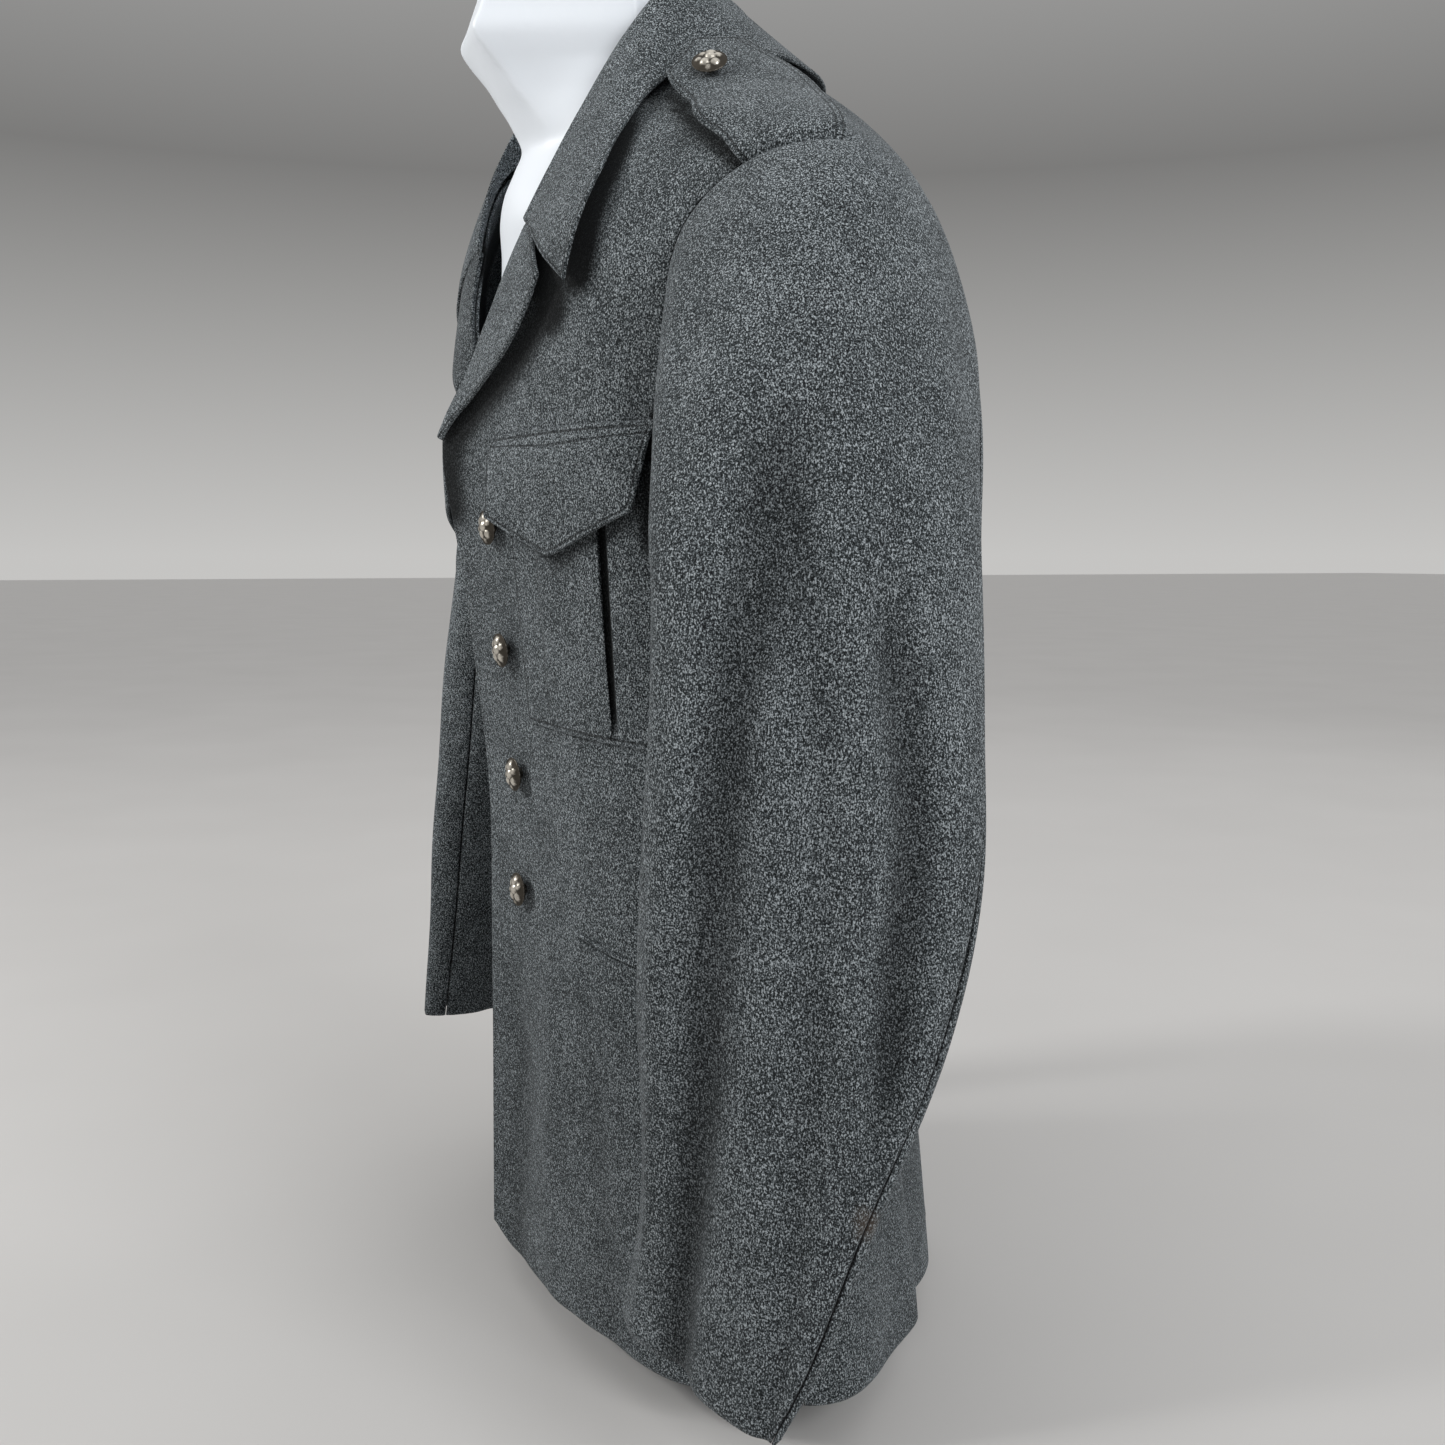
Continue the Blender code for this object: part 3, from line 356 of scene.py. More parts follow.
def fine(count):
    """Shares from 0 to 1, closer together at the ends, where a panel's edge turns in."""
    near = np.array([0.0, 0.003, 0.007, 0.013])
    return np.concatenate([near, np.linspace(near[-1], 1 - near[-1], count + 2)[1:-1], 1 - near[::-1]])


def between(first, last, share):
    first, last = np.asarray(first, float)[:, None], np.asarray(last, float)[:, None]
    return first + (last - first) * np.asarray(share)[None, :]


def mesh_piece(name, points, faces, look, stands_for=()):
    """A named mesh that rides on the jacket's one body."""
    mesh = bpy.data.meshes.new(name)
    mesh.from_pydata(np.asarray(points).tolist(), [], faces)
    mesh.materials.append(look)
    mesh.shade_smooth()
    made = bpy.data.objects.new(name, mesh)
    studio.collection.objects.link(made)
    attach(made, "root")
    if stands_for:
        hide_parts(*stands_for)
    return made


def grid_faces(rows, columns, first=0):
    number = np.arange(rows * columns).reshape(rows, columns) + first
    corners = [number[:-1, :-1], number[:-1, 1:], number[1:, 1:], number[1:, :-1]]
    return np.stack(corners, -1).reshape(-1, 4)


def border(rows, columns):
    """Numbers of a grid's outline, in order."""
    ring = list(range(columns)) + [i * columns + columns - 1 for i in range(1, rows)]
    ring += [(rows - 1) * columns + j for j in range(columns - 2, -1, -1)]
    return np.array(ring + [i * columns for i in range(rows - 2, 0, -1)])


def tube_faces(rings, sides, first=0):
    """Faces between closed rings of points, and the points' numbers."""
    number = np.arange(rings * sides).reshape(rings, sides) + first
    after = np.roll(number, -1, axis=1)
    faces = np.stack([number[:-1], after[:-1], after[1:], number[1:]], -1)
    return faces.reshape(-1, 4).tolist(), number


def inset(points):
    """Distances of a grid's points from its first row, last row, first column and last column."""
    found = []
    for axis in (0, 1):
        step = np.linalg.norm(np.diff(points, axis=axis), axis=-1)
        run = np.cumsum(np.pad(step, ((1, 0), (0, 0)) if axis == 0 else ((0, 0), (1, 0))), axis=axis)
        found += [run, np.take(run, [-1], axis) - run]
    return found


NO_LINE = 9.0  # millimetres: further from a line than its mark reaches


def cloth(node, outer, inner, look, flip, trims=(0, 0, 0, 0), crease=0.0, lines=(NO_LINE, NO_LINE)):
    """Closed wall of cloth between two grids, its edges rounded; trims narrow its four sides.

    The painted shade argument says how dark its painted shade is (0 to 1), and lines the distances in
    millimetres from two pressed lines.
    """
    rows, columns = outer.shape[:2]
    grids = [outer.copy(), inner.copy()]
    for (edge, next_to, axis), distance in zip(((0, 1, 0), (-1, -2, 0), (0, 1, 1), (-1, -2, 1)), trims):
        for grid in grids:
            turned = grid if axis == 0 else grid.swapaxes(0, 1)
            away = turned[next_to] - turned[edge]
            turned[edge] += away / np.maximum(np.linalg.norm(away, axis=-1, keepdims=True), 1e-9) * distance
    through = grids[1] - grids[0]
    radius = np.linalg.norm(through, axis=-1) / 2
    short = np.maximum(radius - np.min(inset(outer), axis=0), 0)
    turned = (radius - np.sqrt(radius**2 - short**2)) * 0.85 / np.maximum(radius, 1e-9) / 2
    grids = [grids[0] + through * turned[..., None], grids[1] - through * turned[..., None]]
    ring = border(rows, columns)
    after = np.roll(ring, -1)
    count = rows * columns
    faces = grid_faces(rows, columns)
    faces = np.concatenate([faces, grid_faces(rows, columns, count)[:, ::-1],
                            np.stack([after, ring, ring + count, after + count], -1)])
    if flip:
        faces = faces[:, ::-1]
    points = np.concatenate([grid.reshape(-1, 3) for grid in grids])
    piece = mesh_piece(f"{node}_cloth", points, faces.tolist(), look, stands_for=[node])
    # the painted shade and the pressed lines ride on the points for the wool's colour
    for name, value in (("crease", crease), ("line_1", lines[0]), ("line_2", lines[1])):
        marks = np.tile(np.broadcast_to(value, (rows, columns)).reshape(-1), 2)
        piece.data.attributes.new(name, "FLOAT", "POINT").data.foreach_set("value", marks)
    return piece


DIP_REACH = 0.0035


def seam_dip(share_across, width, sewn, depth=0.0007):
    """How far a panel's sewn edges are drawn in; sewn says which of its two ends are."""
    first, last = share_across * width, (1 - share_across) * width
    return depth * (sewn[0] * np.exp(-(first / DIP_REACH) ** 2) + sewn[1] * np.exp(-(last / DIP_REACH) ** 2))


wool = Finish("heathered_wool", Roughness=0.92, Sheen_Weight=0.10, Sheen_Roughness=0.45,
              Sheen_Tint=(0.75, 0.80, 0.84, 1), Specular_IOR_Level=0.12)
RUBBED_AT, RUBBED_SHADE = (0.326, -0.034, 0.183), (0.135, 0.100, 0.075, 1)
WHITE, BLACK = (1, 1, 1, 1), (0, 0, 0, 1)
PAINTED_SHADE_DARK, LINE_DARK = 0.95, 0.62


def heather(finish):
    """Dark and pale fibres carded together, milled and pressed: colour and relief."""
    speck = finish.noise(1150, 2.0, 0.6)
    hair = finish.noise(1900, 1.0, 0.5, (1, 1, 0.35))
    curl = finish.noise(780, 1.5, 0.55) - 0.5
    strand = 1 - (curl * curl).step(0.0, 0.0022)
    cloud = finish.noise(34, 3.0, 0.6)
    broad = finish.noise(6, 2.0, 0.5)
    mixed = speck * 0.62 + hair * 0.38 + strand * 0.035 + (cloud - 0.5) * 0.06 + (broad - 0.5) * 0.05
    stops = [(0.42, (0.009, 0.0110, 0.0120)), (0.48, (0.031, 0.0360, 0.0385)),
             (0.54, (0.090, 0.104, 0.112)), (0.62, (0.400, 0.438, 0.462))]
    shade = finish.node("ShaderNodeValToRGB", {"stops": stops}, {"Fac": mixed})
    # Stitched and pressed lines, the shade painted on the mesh, and one rubbed place on a sleeve
    line = finish.mark("line_1") + finish.mark("line_2")
    crease = finish.node("ShaderNodeAttribute", {"attribute_name": "crease"}, {}, "Fac")
    dark = crease * PAINTED_SHADE_DARK + line * LINE_DARK
    shade = finish.blend(1, shade, finish.blend(dark, WHITE, BLACK), "MULTIPLY")
    away = finish.node("ShaderNodeVectorMath", {"operation": "DISTANCE"},
                       {0: finish.place(), 1: RUBBED_AT}, 1)
    rubbed = 1 - (away + (cloud - 0.5) * 0.02).step(0.002, 0.011)
    shade = finish.blend(rubbed * 0.30, shade, RUBBED_SHADE)
    return shade, finish.relief(mixed - line * 0.8, 0.0006, 0.55)


wool_shade, wool_relief = heather(wool)
WOOL = wool.link(Base_Color=wool_shade, Normal=wool_relief)


def seam_lines(points, sewn):
    """Distance in millimetres from the borders of a grid that are sewn."""
    away = inset(points)
    return np.min([away[k] for k in sewn], axis=0) * 1000


# Painted shade in the folds, and over the skirt, which the photograph shows darker than the lamps do
FOLD_SHADE, HEM_SHADE = 0.34, 0.20


def panel(name, s, z, side, trims, sewn, dip=0.0, outside=0.0, crease=0.0):
    """Wall of cloth over the grids s and z, folded, outside the cut's surface by the distance given."""
    points, normals = torso(s, z, side), torso_normals(s, z, side)
    folds = body_depth(s, z, side)
    outer = folded(points, normals, folds + dip - outside)
    crease = crease + FOLD_SHADE * ramp(folds, 0.0004, 0.0050) + HEM_SHADE * ramp(z, 0.36, 0.12)
    return cloth(name, outer, folded(outer, normals, WALL), WOOL, side < 0, trims,
                 np.clip(crease, 0, 1), (seam_lines(outer, sewn), NO_LINE))


def beside(s, z, line, core, reach):
    """1 within the core of the line of (s, z) points, fading to 0 at the reach, in metres."""
    nearest = np.full(s.shape, 1.0)
    for (s0, z0), (s1, z1) in zip(line, line[1:]):
        run = np.array([(s1 - s0) * HALF_GIRTH, z1 - z0])
        share = np.clip(((s - s0) * HALF_GIRTH * run[0] + (z - z0) * run[1]) / (run @ run), 0, 1)
        away = np.hypot((s - s0) * HALF_GIRTH - run[0] * share, z - z0 - run[1] * share)
        nearest = np.minimum(nearest, away)
    return 1 - ramp(nearest, core, reach)


# Under the edges of the lapel, collar, flap and strap the chest lies in shade: s, z along each, then
# how far the full shade and the last of it reach in metres, and how dark it is
UNDER_EDGES = (
    (((0.006, 0.512), (0.014, 0.548), (0.032, 0.560), (0.058, 0.571), (0.102, 0.583), (0.140, 0.597),
      (0.170, 0.612)), 0.004, 0.022, 0.97),
    (((0.118, 0.664), (0.154, 0.647), (0.178, 0.630), (0.184, 0.616)), 0.010, 0.024, 1.0),
    (((0.224, 0.632), (0.230, 0.645), (0.229, 0.662), (0.232, 0.678), (0.246, 0.695), (0.262, 0.712)),
     0.009, 0.017, 1.0),
    (((0.100, 0.503), (0.150, 0.492), (0.201, 0.479), (0.260, 0.492), (0.306, 0.507)), 0.001, 0.009, 0.62),
    (((0.329, 0.551), (0.322, 0.530), (0.316, 0.508), (0.320, 0.490)), 0.005, 0.012, 0.92),
    (((0.340, 0.728), (0.354, 0.708), (0.374, 0.690), (0.398, 0.674)), 0.003, 0.010, 0.85),
)


def edge_shade(s, z):
    shades = [dark * beside(s, z, line, core, reach) for line, core, reach, dark in UNDER_EDGES]
    return np.max(shades, axis=0)


HALF_SEAM = SEAM / 2
# width and length of each flat cut, and the share of that rectangle that the cut fills
PANEL_WIDTH, SIDE_WIDTH = 0.24, 0.14
HEM_STEPS = [0, 0.004, 0.010, 0.018]
SPINE_BREAK, TOP_CORNER = 0.66, 0.62


for side, label in SIDES:
    lower = np.concatenate([HEM_STEPS, np.linspace(0, 1, 95, endpoint=False)[3:]])
    upper = np.linspace(0, 1, 52)
    columns = fine(52)
    arm_s, arm_z = armhole(ARM_FRONT_TURN * (1 - upper))
    seam_z = HEM_Z + (arm_z[0] - HEM_Z) * lower
    edge_z = np.concatenate([HEM_Z + (BREAK_Z - HEM_Z) * lower, BREAK_Z + (NECK_Z - BREAK_Z) * upper])
    edge_s = np.concatenate([np.zeros(len(lower)), table_at(NECKLINE, edge_z[len(lower):])[0]])
    s = between(edge_s, np.concatenate([side_seam(seam_z, 1, ARM_FRONT_TURN), arm_s]), columns)
    z = between(edge_z, np.concatenate([seam_z, arm_z]), columns)
    corner = np.exp(-(s * HALF_GIRTH / CORNER_RADIUS) ** 2) * np.exp(-(z - HEM_Z) / CORNER_RADIUS)
    z = z + CORNER_RADIUS * corner
    dip = seam_dip(columns[None, :], PANEL_WIDTH, (0, 1))
    piece = panel(f"front_{label}", s, z, side, (0, HALF_SEAM, 0, HALF_SEAM), (1, 3), dip,
                  crease=edge_shade(s, z))

    share = fine(26)
    top_s, top_z = armhole(ARM_FRONT_TURN + (ARM_REAR_TURN - ARM_FRONT_TURN) * share)
    rise = np.concatenate([HEM_STEPS, np.linspace(0.03, 1, 90)])[:, None]
    z = HEM_Z + (top_z[None, :] - HEM_Z) * rise
    s = between(side_seam(z[:, 0], 1, ARM_FRONT_TURN), side_seam(z[:, -1], 2, ARM_REAR_TURN),
                (top_s - top_s[0]) / (top_s[-1] - top_s[0]))
    lifted = VENT_LIFT * ramp(share, 0.6, 1.0)[None, :] * (1 - ramp(z, HEM_Z, VENT_TOP_Z))
    # The vent's free edge isn't sewn, so it isn't drawn in
    dip = seam_dip(share[None, :], SIDE_WIDTH, (1, 1)) * np.where(z < VENT_TOP_Z, share[None, :] < 0.5, 1)
    piece = panel(f"side_body_{label}", s, z, side, (0, HALF_SEAM, HALF_SEAM, HALF_SEAM), (1, 2, 3),
                  dip, lifted)

    lower = np.concatenate([HEM_STEPS, np.linspace(0, 1, 90, endpoint=False)[3:]])
    upper = np.linspace(0, 1, 50)
    share = fine(46)
    arm_s, arm_z = armhole(ARM_REAR_TURN + (360 - ARM_REAR_TURN) * upper)
    seam_z = HEM_Z + (arm_z[0] - HEM_Z) * lower
    side_s = np.concatenate([side_seam(seam_z, 2, ARM_REAR_TURN), arm_s])
    up_spine = np.concatenate([lower * SPINE_BREAK, SPINE_BREAK + (1 - SPINE_BREAK) * upper])
    spine_z = HEM_Z + (NECK_Z - 0.002 - HEM_Z) * up_spine
    s = between(side_s, np.ones(len(side_s)), share)
    z = between(np.concatenate([seam_z, arm_z]), spine_z, share)
    # Its top runs up the shoulder to the neck, then along the neck to the spine
    top_s = np.where(share < TOP_CORNER, 0.5, 0.5 + 0.5 * (share - TOP_CORNER) / (1 - TOP_CORNER))
    top_z = np.minimum(SHOULDER_Z + (NECK_Z - SHOULDER_Z) * share / TOP_CORNER, NECK_Z - 0.0001)
    merge = ramp(np.concatenate([lower * 0, upper]), 0.0, 1.0)[:, None]
    s = s + (top_s[None, :] - s[-1:]) * merge
    z = z + (top_z[None, :] - z[-1:]) * merge
    piece = panel(f"back_{label}", s, z, side, (0, HALF_SEAM, HALF_SEAM, HALF_SEAM), (1, 2, 3),
                  seam_dip(share[None, :], PANEL_WIDTH, (1, 1)))

# Sleeves: an upper and an under half of the same wool, set into the armhole with a full head,
# hanging empty, so they fall flat towards the cuff and buckle in long soft folds.
# z, middle_x, middle_y, half_width, half_thick, twist in degrees, tilt
SLEEVE_SECTIONS = {
    1: np.array([
        (0.470, 0.2580, -0.0295, 0.0810, 0.0400, 6.0, 0.00),
        (0.400, 0.2630, -0.0320, 0.0812, 0.0380, 10.0, 0.00),
        (0.330, 0.2660, -0.0370, 0.0815, 0.0350, 22.0, -0.02),
        (0.260, 0.2680, -0.0490, 0.0765, 0.0300, 38.0, -0.06),
        (0.190, 0.2690, -0.0660, 0.0670, 0.0240, 56.0, -0.13),
        (0.125, 0.2670, -0.0830, 0.0620, 0.0160, 68.0, -0.20),
        (0.088, 0.2625, -0.0945, 0.0600, 0.0105, 71.0, -0.10),
    ]),
    -1: np.array([
        (0.470, 0.2580, -0.0360, 0.0810, 0.0400, 6.0, 0.00),
        (0.400, 0.2645, -0.0460, 0.0812, 0.0380, 8.0, 0.00),
        (0.330, 0.2690, -0.0530, 0.0805, 0.0340, 10.0, 0.00),
        (0.260, 0.2720, -0.0640, 0.0765, 0.0290, 13.0, -0.01),
        (0.190, 0.2740, -0.0765, 0.0690, 0.0240, 16.0, -0.03),
        (0.135, 0.2745, -0.0865, 0.0640, 0.0200, 18.0, -0.05),
        (0.108, 0.2740, -0.0913, 0.0620, 0.0180, 19.0, -0.05),
    ]),
}
CAP_SHARE = 0.42
# How the head leaves the armhole and arrives at the sleeve, at its top, front, foot and rear
CAP_LEAVES = np.array([
    (0.115, 0.0, -0.030), (0.060, -0.040, -0.080), (0.030, 0.0, -0.010), (0.086, 0.058, -0.080)])
CAP_ARRIVES = np.array([
    (0.030, 0.0, -0.260), (0.020, 0.0, -0.150), (0.0, 0.0, -0.030), (0.020, 0.0, -0.150)])
FORE_SEAM_TURN, HIND_SEAM_TURN, SLEEVE_TRIMS = 128.0, -76.0, (0.0015, 0, 0.0003, 0.0003)
FOLD_RADIUS, METRES_A_DEGREE, HEAD_DIP, HEAD_PROUD = 0.065, 0.0011, 0.0009, 0.0012
SLACK_DEPTH = 0.0005


def four_way(values, turn):
    """Blend of a value at the top, front, foot and rear, for an array of turns."""
    top, front, foot, rear = values
    turn = np.radians(turn)
    shape = turn.shape + (1,) * np.ndim(top)
    c, s, d = (f(a * turn).reshape(shape) for f, a in ((np.cos, 1), (np.sin, 1), (np.cos, 2)))
    double = (top + foot - front - rear) / 4
    return (top + foot + front + rear) / 4 + c * (top - foot) / 2 + s * (front - rear) / 2 + d * double


def sleeve_section(turn, z, side):
    """The sleeve's flat oval at the height z: turn 0 on its outer side, 90 in front."""
    middle_x, middle_y, half_width, half_thick, twist, tilt = table_at(SLEEVE_SECTIONS[side][::-1], z)
    angle, twist = np.radians(turn), np.radians(twist)
    ahead, out = half_width * np.sin(angle), half_thick * np.cos(angle)
    x = middle_x - np.sin(twist) * ahead + np.cos(twist) * out
    y = middle_y - np.cos(twist) * ahead - np.sin(twist) * out
    return np.stack([x * side, y, z - tilt * ahead], -1)


def sleeve(turn, v, side):
    """Points of a sleeve before its folds: v runs from the armhole (0) to the cuff (1)."""
    turn, v = np.broadcast_arrays(np.asarray(turn, float), np.asarray(v, float))
    mirror = np.array([side, 1, 1])
    first_z, cuff_z = SLEEVE_SECTIONS[side][[0, -1], 0]
    t = np.clip(v / CAP_SHARE, 0, 1)[..., None]
    s, z = armhole(turn % 360)
    start = torso(s, z, side) + torso_normals(s, z, side) * 0.0003 + (0.0012 * side, 0, 0)
    end = sleeve_section(turn, np.full_like(v, first_z), side)
    cap = (2 * t**3 - 3 * t**2 + 1) * start + (t**3 - 2 * t**2 + t) * four_way(CAP_LEAVES * mirror, turn)
    cap = cap + (3 * t**2 - 2 * t**3) * end + (t**3 - t**2) * four_way(CAP_ARRIVES * mirror, turn)
    below = first_z + (cuff_z - first_z) * np.clip((v - CAP_SHARE) / (1 - CAP_SHARE), 0, None)
    return np.where((v < CAP_SHARE)[..., None], cap, sleeve_section(turn, below, side))


def sleeve_normals(turn, v, side):
    small = 1e-3
    around = sleeve(turn + small * 90, v, side) - sleeve(turn - small * 90, v, side)
    along = sleeve(turn, v + small, side) - sleeve(turn, np.maximum(v - small, 0), side)
    return unit(np.cross(along, around) * -side)


# Folds of the sleeves, as lines of (v, turn): half width and depth in metres, from v to v
SLEEVE_FOLDS = (
    (((0.20, 14), (0.33, 23), (0.43, 31), (0.52, 38), (0.60, 36), (0.72, 28), (0.83, 21), (0.95, 14),
      (1, 8)), 0.0150, 0.0088, 0.24, 1.20),
    (((0.20, 14), (0.46, 10), (0.60, -2), (0.71, -12), (0.82, -29), (0.90, -44), (1, -66)),
     0.0115, 0.0040, 0.26, 1.20),
    (((0.30, 0), (0.45, -4), (0.57, -8), (0.70, -22), (0.83, -52), (0.92, -70)),
     0.0080, -0.0030, 0.40, 0.90),
    (((0.34, -10), (0.40, -13), (0.50, -22), (0.60, -32), (0.67, -36), (0.76, -49), (0.85, -68)),
     0.0110, 0.0088, 0.36, 0.84),
    (((0.40, 52), (0.60, 60), (0.80, 52), (1, 44)), 0.0100, -0.0022, 0.42, 1.10),
    (((0.10, 40), (0.20, 55), (0.32, 66)), 0.0120, 0.0018, 0.08, 0.36),
    (((0.10, -40), (0.22, -52), (0.36, -60)), 0.0140, 0.0018, 0.08, 0.40),
    (((0.45, 150), (0.60, 165), (0.80, 170), (1, 172)), 0.0120, 0.0040, 0.42, 1.10),
    (((0.45, 215), (0.62, 205), (0.80, 200), (1, 205)), 0.0120, 0.0036, 0.44, 1.10),
)


def sleeve_depth(turn, v, side):
    """Depth inwards of the sleeve's folds."""
    depth = np.zeros(np.broadcast(turn, v).shape)
    for line, half_width, deep, start, stop in SLEEVE_FOLDS:
        away = (turn - table_at(np.array(line, float), v)[0] + 180) % 360 - 180
        fade = ramp(v, start, start + 0.14) * (1 - ramp(v, stop - 0.12, stop))
        depth += deep * fade * np.exp(-(np.radians(away) * FOLD_RADIUS / half_width) ** 2)
    slack = SLACK_DEPTH * np.sin(v * 23 + turn * 0.03) * np.sin(turn * 0.05 + v * 9)
    return depth + slack * ramp(v, 0.05, 0.2)


# Painted shade in the sleeves' folds, and over their lower part for the same reason as the skirt's
SLEEVE_FOLD_SHADE, CUFF_SHADE = 0.45, 0.26


def sleeve_half(side, name, from_turn, to_turn, columns):
    v = np.concatenate([[0, 0.004, 0.009], np.linspace(0.015, 0.982, 118), [0.989, 0.995, 1.0]])
    share = fine(columns)
    turn, v = np.meshgrid(from_turn + (to_turn - from_turn) * share, v)
    width = METRES_A_DEGREE * abs(to_turn - from_turn)
    dip = seam_dip(share[None, :], width, (1, 1), HEAD_DIP) + HEAD_DIP * np.exp(-(v / 0.006) ** 2)
    # The head is eased in, so it stands a little proud just outside its seam
    head = HEAD_PROUD * np.exp(-((v - 0.022) / 0.014) ** 2) * np.clip(np.cos(np.radians(turn)), 0, 1)
    normals = sleeve_normals(turn, v, side)
    folds = sleeve_depth(turn, v, side)
    outer = folded(sleeve(turn, v, side), normals, folds + dip - head)
    crease = SLEEVE_FOLD_SHADE * ramp(folds, 0.0008, 0.0080) + CUFF_SHADE * ramp(v, 0.40, 1.0)
    piece = cloth(name, outer, folded(outer, normals, WALL), WOOL, side < 0, SLEEVE_TRIMS,
                  crease, (seam_lines(outer, (0, 2, 3)), NO_LINE))


for side, label in SIDES:
    sleeve_half(side, f"sleeve_top_{label}", HIND_SEAM_TURN, FORE_SEAM_TURN, 66)
    sleeve_half(side, f"sleeve_under_{label}", FORE_SEAM_TURN, 360 + HIND_SEAM_TURN, 44)

# Lapels: the fronts' own turned-out leaves, pressed along the roll line, faced, and stitched close
# to their edge. The right one shows only from where the left front crosses it.
# share, roll_s, roll_z, edge_s, edge_z
LAPELS = {
    "left": np.array([
        (0.00, 0.002, 0.555, 0.008, 0.552),
        (0.15, 0.012, 0.569, 0.034, 0.565),
        (0.35, 0.031, 0.588, 0.081, 0.580),
        (0.60, 0.052, 0.611, 0.134, 0.598),
        (0.85, 0.081, 0.639, 0.172, 0.619),
        (1.00, 0.104, 0.666, 0.187, 0.6315),
    ]),
    "right": np.array([
        (0.00, 0.072, 0.583, 0.079, 0.581),
        (0.15, 0.058, 0.590, 0.092, 0.586),
        (0.35, 0.050, 0.602, 0.110, 0.594),
        (0.60, 0.066, 0.619, 0.135, 0.606),
        (0.85, 0.088, 0.641, 0.156, 0.619),
        (1.00, 0.104, 0.666, 0.172, 0.634),
    ]),
}
LAPEL_BELLY, LAPEL_EDGE_LIFT, NOTCH_RISE = 0.0020, {"left": 0.0080, "right": 0.0035}, 0.012
LAPEL_LENGTH, LAPEL_WIDTH, LAPEL_STITCH = 0.13, 0.058, 0.0020
# Painted shade darkens the right lapel's colour by a quarter; the left lapel has none
LAPEL_FILLS, LAPEL_PAINTED_SHADE = {"left": 0.62, "right": 0.43}, {"left": 0, "right": 0.25}


thread = Finish("grey_thread", Roughness=0.8, Sheen_Weight=0.2, Specular_IOR_Level=0.2)
ply = thread.node("ShaderNodeTexWave", {"bands_direction": "DIAGONAL"},
                  {"Vector": thread.place(), "Scale": 900, "Distortion": 1.5}, "Fac")
THREAD = thread.link(Base_Color=thread.blend(ply, (0.030, 0.034, 0.036, 1), (0.070, 0.078, 0.082, 1)),
                     Normal=thread.relief(ply, 0.0002))
STITCH_PITCH, STITCH_LENGTH, STITCH_HALF, STITCH_SUNK = 0.0030, 0.0021, 0.00017, 0.0001


def stitch_row(path, normals):
    """Points and faces of short threads laid along a path, sunk at their ends."""
    step = np.linalg.norm(np.diff(path, axis=0), axis=-1)
    run = np.concatenate([[0], np.cumsum(step)])
    starts = np.arange(STITCH_PITCH, run[-1] - STITCH_PITCH, STITCH_PITCH)
    middle = np.stack([np.interp(starts, run, path[:, k]) for k in range(3)], -1)
    ahead = np.stack([np.interp(starts + 0.0005, run, path[:, k]) for k in range(3)], -1) - middle
    out = np.stack([np.interp(starts, run, normals[:, k]) for k in range(3)], -1)
    ahead /= np.linalg.norm(ahead, axis=-1, keepdims=True) + 1e-12
    across = np.cross(out, ahead)
    # along, thickness share and height of the thread's rings
    rings = ((-0.5, 0.45, -0.9), (-0.28, 0.95, 0.35), (0.0, 1.0, 0.6), (0.28, 0.95, 0.35), (0.5, 0.45, -0.9))
    points = []
    for along, girth, height in rings:
        for turn in range(6):
            angle = math.pi * turn / 3
            points.append(middle + ahead * along * STITCH_LENGTH
                          + across * math.cos(angle) * girth * STITCH_HALF
                          + out * (math.sin(angle) * girth + height) * STITCH_HALF)
    points = np.stack(points, 1)
    one = [[6 * ring + turn, 6 * ring + (turn + 1) % 6, 6 * ring + 6 + (turn + 1) % 6, 6 * ring + 6 + turn]
           for ring in range(len(rings) - 1) for turn in range(6)]
    one += [[5, 4, 3, 2], [5, 2, 1, 0], [24, 25, 26, 27], [24, 27, 28, 29]]
    faces = np.array(one)[None] + (np.arange(len(starts)) * points.shape[1])[:, None, None]
    return points.reshape(-1, 3), faces.reshape(-1, 4)


def contour(points, normals, distance, away, keep):
    """The line on a grid where the distance from one border is away, and its normals."""
    path, outs = [], []
    lines = zip(*(a if keep == 1 else a.swapaxes(0, 1) for a in (points, normals, distance)))
    for line, out, far in lines:
        if far.max() < away:
            continue
        order = np.argsort(far)
        path.append([np.interp(away, far[order], line[order, k]) for k in range(3)])
        outs.append([np.interp(away, far[order], out[order, k]) for k in range(3)])
    return np.array(path), np.array(outs)


def stitches(node, points, normals, sewn, away):
    """One joined mesh of the threads along a leaf's sewn borders."""
    everywhere = inset(points)
    found, faces, count = [], [], 0
    for edge in sewn:
        keep = 0 if edge < 2 else 1
        path, outs = contour(points, normals, everywhere[edge], away, keep)
        others = [k for k in sewn if k // 2 != edge // 2]
        if others:
            nearest = np.repeat(np.min([everywhere[k] for k in others], 0)[..., None], 3, -1)
            inside = contour(nearest, normals, everywhere[edge], away, keep)[0][:, 0] > away * 0.9
            path, outs = path[inside], outs[inside]
        if len(path) < 3:
            continue
        made, quads = stitch_row(path, outs)
        found.append(made)
        faces.append(quads + count)
        count += len(made)
    return mesh_piece(f"{node}_stitches", np.concatenate(found), np.concatenate(faces).tolist(), THREAD)


def fine_metres(length, spacing=0.0032):
    """Shares along a leaf of this length: about half a millimetre apart at its ends, then wider."""
    near = np.array([0.0, 0.0004, 0.0009, 0.0015, 0.0022]) / length
    count = max(int(length / spacing), 6)
    return np.concatenate([near, np.linspace(near[-1], 1 - near[-1], count)[1:-1], 1 - near[::-1]])


def on_body(s, z, side):
    """Points and normals of the folded jacket's surface."""
    normals = torso_normals(s, z, side)
    return folded(torso(s, z, side), normals, body_depth(s, z, side)), normals


